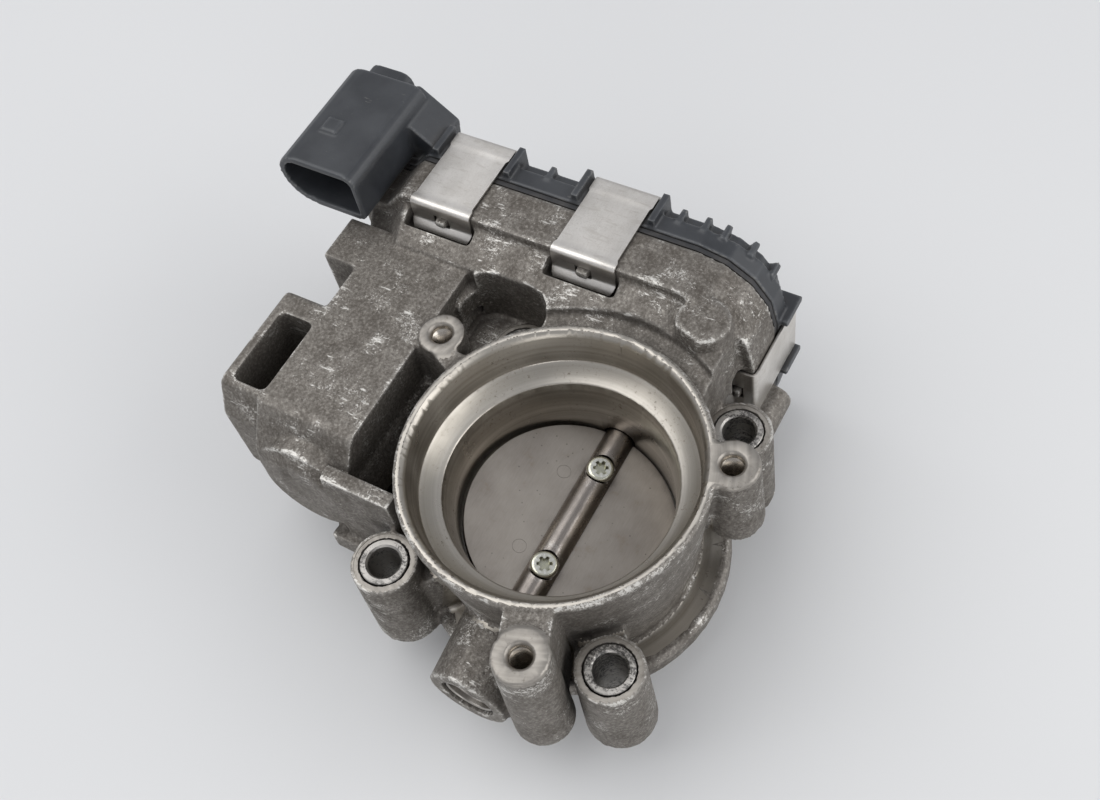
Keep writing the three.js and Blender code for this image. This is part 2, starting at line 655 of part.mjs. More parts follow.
// ---------------------------------------------------------------- bearings, seal and end plug
// A bearing's section is a ring with a recess between its races at each end.
function bearing(rOut, x0, x1) {
  const rIn = SHAFT_R + FIT;
  const inner = rIn + (rOut - rIn) * 0.35;
  const outer = rIn + (rOut - rIn) * 0.7;
  const profile = [
    [rIn, x0],
    [inner, x0],
    [inner, x0 + 0.5],
    [outer, x0 + 0.5],
    [outer, x0],
    [rOut, x0],
    [rOut, x1],
    [outer, x1],
    [outer, x1 - 0.5],
    [inner, x1 - 0.5],
    [inner, x1],
    [rIn, x1],
  ];
  return alongX(turned(profile)).translate([0, 0, SHAFT_Z]);
}
const gearBearing = { x0: shaftSeal.x1 + FIT, x1: bearingEndX - 0.4 };
add("shaft_bearing_far", bearing(farSeatR - FIT, farBearing.x0, farBearing.x1), stainless);
add("shaft_bearing_gear", bearing(gearSeatR - FIT, gearBearing.x0, gearBearing.x1), stainless);

function lipSeal() {
  const r = SHAFT_R + FIT;
  const profile = [
    [r, shaftSeal.x0],
    [gearSeatR - FIT, shaftSeal.x0],
    [gearSeatR - FIT, shaftSeal.x1],
    [r + 1.2, shaftSeal.x1],
    [r + 1.2, shaftSeal.x0 + 1.2],
    [r, shaftSeal.x0 + 1],
  ];
  return alongX(turned(profile)).translate([0, 0, SHAFT_Z]);
}
add("shaft_seal", lipSeal(), rubber);

function endPlug() {
  const r = farSeatR - FIT;
  const profile = [
    [0, tubeEndX + 2.6],
    [r - 0.8, tubeEndX + 2.6],
    [r - 0.8, tubeEndX + 0.9],
    [r, tubeEndX + 0.9],
    [r, tubeEndX + 3.6],
    [0, tubeEndX + 3.6],
  ];
  return alongX(turned(profile)).translate([0, 0, SHAFT_Z]);
}
add("shaft_end_plug", endPlug(), darkSteel);

// ---------------------------------------------------------------- gear train
const pitchOf = (teeth) => (2 * Math.PI) / teeth;

// The sector has teeth only where the throttle's sweep brings them to the small gear.
function sectorGear() {
  const pitch = pitchOf(SECTOR_TEETH);
  const below = Math.ceil(rad(OPEN_SWEEP) / pitch) + 1;
  const above = Math.ceil(rad(CLOSE_SWEEP) / pitch) + 1;
  const hubR = gearSeatR - 0.4;
  const points = [new THREE.Vector2(0, 0)];
  for (let k = -below; k <= above; k++) points.push(...toothPoints(SECTOR_TEETH, middle.angle + k * pitch));
  const { x0, x1 } = sectorPlane;
  const plate = extrudeX(points, x0, x1);
  const lo = middle.angle - (below - 1) * pitch;
  const hi = middle.angle + (above - 1) * pitch;
  const windowArc = (r, from, to) =>
    Array.from({ length: 9 }, (_, k) => {
      const angle = THREE.MathUtils.lerp(from, to, k / 8);
      return new THREE.Vector2(r * Math.cos(angle), r * Math.sin(angle));
    });
  const relief = [...windowArc(sectorR - 4, lo, hi), ...windowArc(hubR + 2.5, hi, lo)];
  const turnedSector = cut(
    join(plate, cylinderX(hubR, sectorHubX, x1, 0, 0)),
    extrudeX(relief, x0 - 1, x0 + 2),
    cylinderX(SHAFT_R + FIT, sectorHubX - 1, x1 + 1, 0, 0),
  );
  return turnedSector.translate([0, 0, SHAFT_Z]);
}
add("sector_gear", sectorGear(), gearPlastic);

function sensorRotor() {
  const profile = [
    [SHAFT_R + 0.6, sectorPlane.x1 + FIT],
    [7.4, sectorPlane.x1 + FIT],
    [7.4, sectorPlane.x1 + 1.5],
    [SHAFT_R + 0.6, sectorPlane.x1 + 1.5],
  ];
  const ring = alongX(turned(profile));
  const lobes = [0, 90, 180, 270].map((a) =>
    box(sectorPlane.x1 + 0.9, sectorPlane.x1 + 3, 5, 9, -1.5, 1.5).rotate([a, 0, 0]),
  );
  return cut(ring, lobes).translate([0, 0, SHAFT_Z]);
}
add("sensor_rotor", sensorRotor(), ferrite);

function intermediateGear() {
  const backToSector = middle.angle + Math.PI;
  const smallTurn = backToSector + pitchOf(SMALL_TEETH) / 2;
  const small = gearX(SMALL_TEETH, smallTurn, largeGear.x1 - 0.5, sectorPlane.x1);
  const large = gearX(LARGE_TEETH, pinionAngle, largeGear.x0, largeGear.x1);
  const dish = ringX(largeR - 3.4, 8, largeGear.x0 - 1, largeGear.x0 + 1.4, 0, 0);
  const bore = cylinderX(PIN_R + FIT, largeGear.x0 - 1, sectorPlane.x1 + 1, 0, 0);
  return cut(join(small, large), dish, bore).translate([0, middle.y, middle.z]);
}
add("intermediate_gear", intermediateGear(), gearPlastic);
add(
  "intermediate_gear_pin",
  cylinderX(PIN_R, CASE_BACK_X + 1.4, sectorPlane.x1 + 1.6, middle.y, middle.z),
  darkSteel,
);

function motorPinion() {
  const gap = pinionAngle + Math.PI + pitchOf(PINION_TEETH) / 2;
  const teeth = gearX(PINION_TEETH, gap, largeGear.x0 - 0.4, largeGear.x1 + 0.2);
  const bore = cylinderX(MOTOR_SHAFT_R + FIT, largeGear.x0 - 2, largeGear.x1 + 2, 0, 0);
  return cut(teeth, bore).translate([0, MOTOR_Y, MOTOR_Z]);
}
const MOTOR_SHAFT_R = 1.4;
add("motor_pinion", motorPinion(), brass);

// A torsion spring round the gear-side bearing seat, with a hook at each end.
const SPRING_R = gearSeatR + 4;
const SPRING_WIRE_R = 0.7;
const SPRING_TURNS = 3;
function returnSpring() {
  const x0 = caseInnerX + 1.6;
  const pitch = 2 * SPRING_WIRE_R + 0.5;
  const perTurn = 16;
  const points = [new THREE.Vector3(x0, 0, SPRING_R + 3.2)];
  for (let k = 0; k <= SPRING_TURNS * perTurn; k++) {
    const angle = (2 * Math.PI * k) / perTurn;
    const x = x0 + (pitch * k) / perTurn;
    points.push(new THREE.Vector3(x, SPRING_R * Math.sin(angle), SPRING_R * Math.cos(angle)));
  }
  points.push(new THREE.Vector3(x0 + pitch * SPRING_TURNS, 0, SPRING_R + 3.2));
  const route = new THREE.CatmullRomCurve3(points, false, "centripetal");
  const section = Array.from({ length: 6 }, (_, k) => {
    const angle = (2 * Math.PI * k) / 6;
    return new THREE.Vector2(SPRING_WIRE_R * Math.cos(angle), SPRING_WIRE_R * Math.sin(angle));
  });
  const geometry = new THREE.ExtrudeGeometry(new THREE.Shape(section), {
    steps: SPRING_TURNS * perTurn + 4,
    extrudePath: route,
    bevelEnabled: false,
  });
  return solid(geometry).translate([0, 0, SHAFT_Z]);
}
add("return_spring", returnSpring(), springSteel);

// ---------------------------------------------------------------- drive motor
const canWall = 1;
const frontPlate = { x0: motorFaceX, x1: motorFaceX + 2 };
const armature = { x0: motorBackX + 7, x1: motorFaceX - 13 };
const atMotor = (s) => s.translate([0, MOTOR_Y, MOTOR_Z]);

function motorCan() {
  const shell = cylinderX(MOTOR_R, motorBackX, motorFaceX - FIT, 0, 0);
  const room = cylinderX(MOTOR_R - canWall, motorBackX + canWall, motorFaceX + 1, 0, 0);
  const nose = cylinderX(4, motorBackX, motorBackX + 3.4, 0, 0);
  const shaftSeat = cylinderX(MOTOR_SHAFT_R + FIT, motorBackX + 1.2, motorBackX + 5, 0, 0);
  return cut(join(cut(shell, room), nose), shaftSeat);
}
add("motor_can", atMotor(motorCan()), stainless);

function arcMagnet(turn) {
  const outer = MOTOR_R - canWall - FIT;
  const ring = ringX(outer, outer - 2.3, armature.x0 - 1, armature.x1 + 1, 0, 0);
  const wedge = box(armature.x0 - 2, armature.x1 + 2, -8.6, 8.6, 2, MOTOR_R);
  return ring.intersect(wedge).rotate([turn, 0, 0]);
}
add("motor_magnet_upper", atMotor(arcMagnet(0)), ferrite);
add("motor_magnet_lower", atMotor(arcMagnet(180)), ferrite);

// Laminated core with three winding slots, and the commutator in front of it.
function motorArmature() {
  const core = cylinderX(MOTOR_R - canWall - 3.4, armature.x0, armature.x1, 0, 0);
  const slots = [90, 210, 330].map((a) =>
    box(armature.x0 - 1, armature.x1 + 1, -1.2, 1.2, 4.5, MOTOR_R).rotate([a, 0, 0]),
  );
  const commutator = cylinderX(3.6, armature.x1 - 1, armature.x1 + 7, 0, 0);
  const bore = cylinderX(MOTOR_SHAFT_R + FIT, armature.x0 - 1, armature.x1 + 8, 0, 0);
  return cut(join(cut(core, slots), commutator), bore);
}
add("motor_armature", atMotor(motorArmature()), copper);
add(
  "motor_shaft",
  cylinderX(MOTOR_SHAFT_R, motorBackX + 1.6, largeGear.x1 + 0.8, MOTOR_Y, MOTOR_Z),
  stainless,
);

function motorBrush(side) {
  const x = armature.x1 + 2.5;
  return box(x, x + 3, -1.4, 1.4, 3.6 + FIT, 8.6).rotate([side * 90, 0, 0]);
}
add("motor_brush_1", atMotor(motorBrush(1)), ferrite);
add("motor_brush_2", atMotor(motorBrush(-1)), ferrite);

// Steel face plate with an ear for each retaining screw.
function motorFacePlate() {
  const lobe = (y, z) => cylinderX(3.2, frontPlate.x0, frontPlate.x1, y, z);
  const strap = box(frontPlate.x0, frontPlate.x1, -3.2, 3.2, -MOTOR_R - 4, MOTOR_R + 4)
    .rotate([45, 0, 0])
    .translate([0, MOTOR_Y, MOTOR_Z]);
  const disc = cylinderX(MOTOR_R - 1.5, frontPlate.x0, frontPlate.x1, MOTOR_Y, MOTOR_Z);
  const boss = cylinderX(4.5, frontPlate.x0, frontPlate.x1 + 2.6, MOTOR_Y, MOTOR_Z);
  return cut(
    join(disc, strap, boss, ...motorScrewPlaces.map(([y, z]) => lobe(y, z))),
    cylinderX(MOTOR_SHAFT_R + FIT, frontPlate.x0 - 1, frontPlate.x1 + 4, MOTOR_Y, MOTOR_Z),
    motorScrewPlaces.map(([y, z]) => cylinderX(1.8, frontPlate.x0 - 1, frontPlate.x1 + 1, y, z)),
    motorTerminalPlaces.map(([y, z]) => terminalSlot(y, z)),
  );
}

const motorTerminalPlaces = [
  [MOTOR_Y + 7, MOTOR_Z + 4],
  [MOTOR_Y + 7, MOTOR_Z - 4],
];
const TERMINAL = { thick: 0.8, wide: 3 };
const terminalBlade = (y, z, grow, x0, x1) =>
  box(x0, x1, y - TERMINAL.thick / 2 - grow, y + TERMINAL.thick / 2 + grow,
    z - TERMINAL.wide / 2 - grow, z + TERMINAL.wide / 2 + grow);
const terminalSlot = (y, z) => terminalBlade(y, z, FIT, frontPlate.x0 - 1, frontPlate.x1 + 1);
add("motor_face_plate", motorFacePlate(), tinPlate);
motorTerminalPlaces.forEach(([y, z], i) =>
  add(`motor_terminal_${i + 1}`, terminalBlade(y, z, 0, frontPlate.x0 - 3, frontPlate.x1 + 9), brass),
);

function motorScrew(y, z) {
  const head = cylinderX(2.6, frontPlate.x1 + 0.15, frontPlate.x1 + 2.2, y, z);
  const shank = cylinderX(1.5, CASE_BACK_X - 3, frontPlate.x1 + 0.5, y, z);
  const socket = extrudeX(
    Array.from({ length: 6 }, (_, k) => {
      const angle = (Math.PI * k) / 3;
      return new THREE.Vector2(y + 1.3 * Math.cos(angle), z + 1.3 * Math.sin(angle));
    }),
    frontPlate.x1 + 1,
    frontPlate.x1 + 3,
  );
  return cut(join(head, shank), socket);
}
motorScrewPlaces.forEach(([y, z], i) => add(`motor_screw_${i + 1}`, motorScrew(y, z), platedSteel));

// ---------------------------------------------------------------- gear cover with its connector
const coverBandX = coverX + 5; // end of the smooth band round the cover
const domeInset = 1.6;
const coverWall = 2.2;
const connector = {
  x0: CASE_BACK_X + 1.7,
  y0: motorSideY + 2.8,
  z0: CASE_TOP_Z - 5,
};
connector.x1 = connector.x0 + CONNECTOR_LENGTH;
connector.y1 = connector.y0 + CONNECTOR_WIDTH;
connector.z1 = connector.z0 + CONNECTOR_HEIGHT;
const connectorCorners = [
  [connector.y0, connector.z1, 3.5],
  [connector.y0, connector.z0, 2],
  [connector.y1, connector.z0, 8.5],
  [connector.y1, connector.z1, 6],
];
const SHROUD_WALL = 1.7;
const pinPlaces = [-1, 0, 1].flatMap((i) =>
  [-1, 1].map((j) => [
    connector.y0 + CONNECTOR_WIDTH / 2 + i * 5.2,
    connector.z0 + CONNECTOR_HEIGHT / 2 + j * 2.9,
  ]),
);
const shroudFloorX = connector.x0 + 24;

// Seats for the clips, each between two shoulders, and gussets between the band and the dome.
function coverRibs() {
  const half = CLIP_WIDTH / 2 + 0.7;
  const seats = clipPlaces.flatMap((place) => [
    atClip(box(coverX, coverFaceX, -half, half, -domeInset - 3, 0), place),
    ...[-1, 1].map((side) =>
      atClip(box(coverX + 0.6, coverFaceX + 0.8, side * half - 0.9, side * half + 0.9, -domeInset - 3, 2.2)
        .translate([0, side * 1.1, 0]), place),
    ),
  ]);
  const gusset = (y) => box(coverBandX - 1, coverFaceX - 0.4, y - 0.8, y + 0.8,
    CASE_TOP_Z - domeInset - 3, CASE_TOP_Z + 0.3);
  const along = [MOTOR_Y - 21.2, MOTOR_Y - 57, MOTOR_Y - 63.5].map(gusset);
  const noseCentre = [CASE_NOSE_Y + 20, CASE_TOP_Z - 20];
  const round = [12, 34, 56].map((a) =>
    box(coverBandX - 1, coverFaceX - 0.4, -0.8, 0.8, 20 - domeInset - 3, 20 + 0.3)
      .rotate([a, 0, 0])
      .translate([0, noseCentre[0], noseCentre[1]]),
  );
  return [...seats, ...along, ...round];
}

function connectorBody() {
  const shroud = extrudeX(rounded(connectorCorners), connector.x0, connector.x1);
  const room = extrudeX(rounded(inset(connectorCorners, SHROUD_WALL)), connector.x0 - 1, shroudFloorX);
  const rear = extrudeX(
    rounded(rectangle(connector.y0 + 8, connector.y1 - 3, connector.z0 + 2, connector.z1 - 3.5, 3), 30),
    connector.x1 - 2,
    connector.x1 + 5.5,
  );
  const neck = extrudeX(
    rounded([
      [MOTOR_Y + 10, CASE_TOP_Z, 1],
      [MOTOR_Y + 12, CASE_TOP_Z - 14, 2],
      [connector.y0 + 14, CASE_TOP_Z - 14, 2],
      [connector.y0 + 14, connector.z0 + 6, 1],
      [connector.y0 + 3, connector.z1 - 2, 1],
    ], 30),
    coverX + 2,
    connector.x1 + 2,
  );
  const latch = box(connector.x0 + 11, connector.x0 + 15.5, connector.y0 + 12.5, connector.y0 + 17,
    connector.z1 - 1, connector.z1 + 0.8);
  return { outer: join(shroud, rear, neck, latch), room };
}

function gearCover() {
  const band = extrudeX(rounded(caseCorners), coverX, coverBandX);
  const dome = loftX(rounded(inset(caseCorners, domeInset)), coverBandX - 0.5,
    rounded(inset(caseCorners, domeInset + 1.2)), coverFaceX);
  const ridge = ringX(15, 12, coverFaceX - 1, coverFaceX + 0.8, 0, SHAFT_Z);
  const plug = connectorBody();
  const outer = join(band, dome, ridge, coverRibs(), plug.outer);
  const lowRoom = extrudeX(rounded(inset(caseCorners, CASE_WALL)), coverX - 1, coverBandX - coverWall);
  const highRoom = extrudeX(
    rounded(inset(caseCorners, domeInset + 1.2 + coverWall)),
    coverBandX - coverWall - 0.5,
    coverFaceX - coverWall,
  );
  return cut(
    outer,
    lowRoom,
    highRoom,
    plug.room,
    pinPlaces.map(([y, z]) => pinBlade(y, z, FIT, shroudFloorX - 1, shroudFloorX + 5)),
  );
}

const PIN_THICK = 0.8;
const PIN_WIDE = 2;
const pinBlade = (y, z, grow, x0, x1) =>
  box(x0, x1, y - PIN_WIDE / 2 - grow, y + PIN_WIDE / 2 + grow,
    z - PIN_THICK / 2 - grow, z + PIN_THICK / 2 + grow);

add("gear_cover", gearCover(), blackPlastic);
pinPlaces.forEach(([y, z], i) =>
  add(`connector_pin_${i + 1}`, pinBlade(y, z, 0, connector.x0 + 9, shroudFloorX + 4), tinPlate),
);

// Rubber ring between the case and its cover.
const coverSeal = extrudeX(rounded(inset(caseCorners, 0.3)), sealX, sealX + sealThick).subtract(
  extrudeX(rounded(inset(caseCorners, CASE_WALL - 0.2)), sealX - 1, sealX + sealThick + 1),
);
add("cover_seal", coverSeal, rubber);

// Circuit board of the position sensor, inside the cover over the end of the shaft.
function sensorBoard() {
  const x0 = sectorPlane.x1 + 2.2;
  const corners = rectangle(-13, 15, SHAFT_Z - 14, SHAFT_Z + 18, 3);
  return extrudeX(rounded(corners, 45), x0, x0 + 1.2);
}
add("sensor_board", sensorBoard(), boardGreen);

// ---------------------------------------------------------------- cover clips
// A bent strip: down the cover's face, over the case and round the foot's two folds.
function clipStrip() {
  const t = CLIP_THICK;
  const lift = FIT + t / 2;
  const faceX = coverFaceX + FIT + t / 2;
  const footX = bandX - FIT - t / 2;
  const line = [
    [faceX, -6.5],
    [faceX, lift],
    [footX, lift],
    [footX, -CLIP_FALL + 0.6],
    [footX - 2.2, -CLIP_FALL - 1.4],
  ];
  const strip = extrudeY(ribbon(line, t), -CLIP_WIDTH / 2, CLIP_WIDTH / 2);
  const slot = box(bandX - 3, bandX + 1, -2.2, 2.2, -CLIP_FALL + 0.5, -CLIP_FALL + 3.5);
  return cut(strip, slot);
}

// Outline of a strip of even thickness along a line of [u, v] points.
function ribbon(line, thickness) {
  const points = line.map(([u, v]) => new THREE.Vector2(u, v));
  const offset = (side) =>
    points.map((p, i) => {
      const a = i ? p.clone().sub(points[i - 1]).normalize() : null;
      const b = i < points.length - 1 ? points[i + 1].clone().sub(p).normalize() : null;
      const n = (d) => new THREE.Vector2(-d.y, d.x);
      const sum = a && b ? n(a).add(n(b)).divideScalar(1 + a.dot(b)) : n(a || b);
      return p.clone().addScaledVector(sum, (side * thickness) / 2);
    });
  return [...offset(-1), ...offset(1).reverse()];
}
clipPlaces.forEach((place, i) => add(`cover_clip_${i + 1}`, atClip(clipStrip(), place), stainless));

export default throttleBody;
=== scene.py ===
import json
import math

import bmesh
import bpy
from mathutils import Matrix, Vector


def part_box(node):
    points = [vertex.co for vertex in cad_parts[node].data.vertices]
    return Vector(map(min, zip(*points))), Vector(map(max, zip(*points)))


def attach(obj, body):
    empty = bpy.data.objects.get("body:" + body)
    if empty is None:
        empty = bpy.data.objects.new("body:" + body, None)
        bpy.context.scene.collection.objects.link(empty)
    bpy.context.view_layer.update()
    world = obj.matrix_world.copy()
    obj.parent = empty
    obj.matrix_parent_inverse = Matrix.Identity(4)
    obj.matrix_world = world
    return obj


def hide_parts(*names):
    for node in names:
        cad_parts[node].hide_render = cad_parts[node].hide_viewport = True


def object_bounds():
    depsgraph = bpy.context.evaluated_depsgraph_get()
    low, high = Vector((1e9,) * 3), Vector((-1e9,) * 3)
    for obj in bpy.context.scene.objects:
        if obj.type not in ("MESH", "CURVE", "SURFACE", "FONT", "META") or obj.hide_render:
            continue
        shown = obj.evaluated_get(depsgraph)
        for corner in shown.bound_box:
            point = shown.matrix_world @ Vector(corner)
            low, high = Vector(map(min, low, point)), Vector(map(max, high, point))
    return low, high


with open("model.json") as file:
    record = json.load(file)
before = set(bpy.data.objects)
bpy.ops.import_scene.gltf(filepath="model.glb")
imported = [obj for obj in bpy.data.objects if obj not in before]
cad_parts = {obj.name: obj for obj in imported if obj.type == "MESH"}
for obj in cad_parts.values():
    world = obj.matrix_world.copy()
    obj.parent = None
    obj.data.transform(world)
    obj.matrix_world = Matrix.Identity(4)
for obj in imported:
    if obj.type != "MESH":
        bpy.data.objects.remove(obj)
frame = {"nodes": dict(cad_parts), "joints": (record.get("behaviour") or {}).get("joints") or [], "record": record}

cad_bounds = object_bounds()
MM = 0.001


# ---- Camera, floor and lights
# The part lies on a pale table and is seen from above its inlet, over one corner, under a
# large soft light from the motor's side and a weaker one from the gear cover's side.
camera_back = Vector((-0.414, -0.364, 0.834)).normalized()
camera_right = Vector((0.482, -0.865, -0.138))
camera_right = (camera_right - camera_back * camera_right.dot(camera_back)).normalized()
camera_up = camera_back.cross(camera_right)
camera_place = Vector((-0.1104, -0.1006, 0.2935))

camera_data = bpy.data.cameras.new("camera")
camera_data.sensor_width = 36.0
camera_data.lens = 43.3
camera = bpy.data.objects.new("camera", camera_data)
camera_turn = Matrix((camera_right, camera_up, camera_back)).transposed()
camera.matrix_world = Matrix.Translation(camera_place) @ camera_turn.to_4x4()
bpy.context.scene.collection.objects.link(camera)
bpy.context.scene.camera = camera
bpy.context.scene.view_settings.view_transform = "Standard"


def give(tree, node, inputs):
    """Sets a node's inputs to values, or links them to sockets."""
    for key, value in inputs.items():
        if isinstance(value, bpy.types.NodeSocket):
            tree.links.new(value, node.inputs[key])
        else:
            node.inputs[key].default_value = value


def shade(tree, kind, inputs=None, **settings):
    """A node of a kind in tree, with its inputs and settings."""
    made = tree.nodes.new(kind)
    for key, value in settings.items():
        setattr(made, key, value)
    give(tree, made, inputs or {})
    return made


def noise(tree, vector, size, detail=4.0, rough=0.55, distortion=0.0):
    """Noise whose blotches are about size across, in metres."""
    inputs = {"Vector": vector, "Scale": 1.0 / size, "Detail": detail, "Roughness": rough,
              "Distortion": distortion}
    return shade(tree, "ShaderNodeTexNoise", inputs).outputs[0]


def tint(tree, factor, a, b):
    """Colour a turned towards colour b by factor. A tuple is red, green and blue."""
    a, b = [(*c, 1.0) if isinstance(c, tuple) else c for c in (a, b)]
    return shade(tree, "ShaderNodeMix", {0: factor, 6: a, 7: b}, data_type="RGBA").outputs[2]


def new_material(name):
    """A node material with its tree and the object coordinates."""
    material = bpy.data.materials.new(name)
    material.use_nodes = True
    tree = material.node_tree
    return material, tree, shade(tree, "ShaderNodeTexCoord").outputs["Object"]


def new_piece(name, mesh):
    piece = bpy.data.objects.new(name, mesh)
    bpy.context.scene.collection.objects.link(piece)
    return piece


def table_top():
    """Matt pale laminate."""
    material, tree, place = new_material("pale_table")
    cloud = noise(tree, place, 0.5, 2.0)
    colour = tint(tree, cloud, (0.66, 0.66, 0.66), (0.71, 0.71, 0.705))
    give(tree, tree.nodes["Principled BSDF"],
         {"Base Color": colour, "Roughness": 0.55, "Specular IOR Level": 0.3})
    return material


floor_mesh = bpy.data.meshes.new("table")
floor_half = 3.0
floor_z = cad_bounds[0].z
floor_mesh.from_pydata(
    [(-floor_half, -floor_half, floor_z), (floor_half, -floor_half, floor_z),
     (floor_half, floor_half, floor_z), (-floor_half, floor_half, floor_z)],
    [], [(0, 1, 2, 3)])
floor_mesh.materials.append(table_top())
new_piece("table", floor_mesh)


def soft_light(name, offset, size, watts):
    """A square lamp at offset from the part's middle, along the camera's right, up and back."""
    data = bpy.data.lights.new(name, "AREA")
    data.size = size
    data.energy = watts
    lamp = bpy.data.objects.new(name, data)
    middle = (cad_bounds[0] + cad_bounds[1]) / 2
    lamp.location = (middle + camera_right * offset[0] + camera_up * offset[1]
                     + camera_back * offset[2])
    lamp.rotation_euler = (middle - lamp.location).to_track_quat("-Z", "Y").to_euler()
    bpy.context.scene.collection.objects.link(lamp)


soft_light("motor_side_light", (-0.55, 0.50, 0.60), 1.00, 5.2)
soft_light("cover_side_light", (0.80, 0.15, 0.60), 0.80, 4.4)
soft_light("front_light", (0.0, -0.75, 0.65), 0.50, 1.6)

world = bpy.data.worlds.new("studio")
world.use_nodes = True
world.node_tree.nodes["Background"].inputs["Color"].default_value = (0.93, 0.95, 1.0, 1.0)
world.node_tree.nodes["Background"].inputs["Strength"].default_value = 0.58
bpy.context.scene.world = world


# ---- Throttle housing
# One aluminium die casting: grey, grainy and grimy as cast, with painted shade in its corners
# and scuffs that shine where it was rubbed. The bore, the rim, the boss ends and the shaft's
# tube are machined after casting.
tube_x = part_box("throttle_housing")[0].x
mounts = {m["name"]: Vector(m["pos_m"]) for m in frame["record"]["mounts"]}
rim_z = mounts["inlet_face"].z
plate_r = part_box("throttle_plate")[1].x
bore_r = plate_r + 0.25 * MM
inlet_step = 7.8 * MM
inlet_r = bore_r + inlet_step
rim_width = 2.7 * MM
rim_r = inlet_r + rim_width
shaft_z = frame["joints"][0]["pos_m"][2]
sleeves = [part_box(f"mount_sleeve_{i}") for i in (1, 2, 3, 4)]
sleeve_places = [(low + high) / 2 for low, high in sleeves]
sleeve_top_z = sleeves[0][1].z
thread_r = 2.5 * MM
thread_pitch = 1.0 * MM
thread_depth = 16.5 * MM
duct_bosses = [(65.3, 8.8 * MM), (-67.4, 2.9 * MM), (-159.3, 9.6 * MM)]  # angle, way out
duct_places = [
    Vector(((rim_r + out) * math.cos(math.radians(a)), (rim_r + out) * math.sin(math.radians(a)), 0))
    for a, out in duct_bosses
]


def piece_of(made, name):
    """A piece of the bmesh made, which is used up."""
    mesh = bpy.data.meshes.new(name)
    made.to_mesh(mesh)
    made.free()
    return new_piece(name, mesh)


def merged_copy(node, name):
    """A copy of a CAD node's mesh with its loose triangles joined."""
    made = bmesh.new()
    made.from_mesh(frame["nodes"][node].data)
    bmesh.ops.remove_doubles(made, verts=made.verts, dist=2e-6)
    return piece_of(made, name)


def add_face(made, corners):
    """A face of made over corners, leaving out any that come twice."""
    corners = [c for i, c in enumerate(corners) if c not in corners[:i]]
    if len(corners) > 2:
        made.faces.new(corners)


def settle(piece):
    """Turns the piece's modifiers into plain mesh."""
    graph = bpy.context.evaluated_depsgraph_get()
    mesh = bpy.data.meshes.new_from_object(piece.evaluated_get(graph))
    piece.modifiers.clear()
    piece.data = mesh
    return piece


def turned(name, profile, steps=96, axis="Z", centre=(0, 0, 0)):
    """A closed solid turned about an axis from (radius, height) points, in metres."""
    made = bmesh.new()
    rings = []
    for radius, height in profile:
        if radius < 1e-7:
            rings.append([made.verts.new((0, 0, height))] * steps)
            continue
        ring = []
        for k in range(steps):
            a = math.tau * k / steps
            ring.append(made.verts.new((radius * math.cos(a), radius * math.sin(a), height)))
        rings.append(ring)
    for lower, upper in zip(rings, rings[1:] + rings[:1]):
        for k in range(steps):
            n = (k + 1) % steps
            add_face(made, [lower[k], lower[n], upper[n], upper[k]])
    bmesh.ops.recalc_face_normals(made, faces=made.faces)
    turn = Matrix.Rotation(math.radians(90), 4, "Y") if axis == "X" else Matrix.Identity(4)
    bmesh.ops.transform(made, matrix=Matrix.Translation(centre) @ turn, verts=made.verts)
    return piece_of(made, name)


def cut_by(piece, tool):
    """Cuts tool, which is used up, out of piece."""
    cut = piece.modifiers.new("cut", "BOOLEAN")
    cut.operation = "DIFFERENCE"
    cut.solver = "MANIFOLD"
    cut.object = tool
    settle(piece)
    bpy.data.objects.remove(tool)


def smooth_by_angle(piece, degrees):
    """Smooth shading, except over edges sharper than degrees."""
    piece.data.polygons.foreach_set("use_smooth", [True] * len(piece.data.polygons))
    made = bmesh.new()
    made.from_mesh(piece.data)
    for edge in made.edges:
        edge.smooth = len(edge.link_faces) == 2 and edge.calc_face_angle(0) < math.radians(degrees)
    made.to_mesh(piece.data)
    made.free()


def cast_skin(piece, voxel, rounds, triangles):
    """Rounds every edge and corner of piece, as a casting or moulding has them."""
    remesh = piece.modifiers.new("voxels", "REMESH")
    remesh.mode = "VOXEL"
    remesh.voxel_size = voxel
    soften = piece.modifiers.new("soften", "SMOOTH")
    soften.factor = 0.5
    soften.iterations = rounds
    settle(piece)
    thin = piece.modifiers.new("thin", "DECIMATE")
    thin.ratio = min(1.0, triangles / (2 * len(piece.data.polygons)))
    settle(piece)


housing = merged_copy("throttle_housing", "housing_casting")
cast_skin(housing, 0.55 * MM, 3, 150000)

machine_allowance = 0.12 * MM


def bore_cutter():
    """The stepped bore, from the manifold face to above the rim."""
    more = machine_allowance
    profile = [
        (0, -1 * MM),
        (bore_r + 1.0 * MM, -1 * MM),
        (bore_r + more, 0.9 * MM),
        (bore_r + more, shaft_z + 11.3 * MM),
        (bore_r + 1.5 * MM + more, rim_z - 12.2 * MM),
        (bore_r + 1.9 * MM + more, rim_z - 12.0 * MM),
        (inlet_r - 1.7 * MM + more, rim_z - 9.7 * MM),
        (inlet_r - 1.4 * MM + more, rim_z - 9.3 * MM),
        (inlet_r - 0.5 * MM + more, rim_z - 1.6 * MM),
        (inlet_r + 0.7 * MM + more, rim_z - 0.1 * MM),
        (inlet_r + 0.7 * MM + more, rim_z + 1 * MM),
        (0, rim_z + 1 * MM),
    ]
    return turned("bore_cutter", profile, 256)


def cut_round(piece, radius, low, high, x=0.0, y=0.0, steps=96):
    """Cuts a flat-ended round room about Z, from low to high, in piece."""
    profile = [(0, low), (radius, low), (radius, high), (0, high)]
    cut_by(piece, turned("cutter", profile, steps, centre=(x, y, 0)))


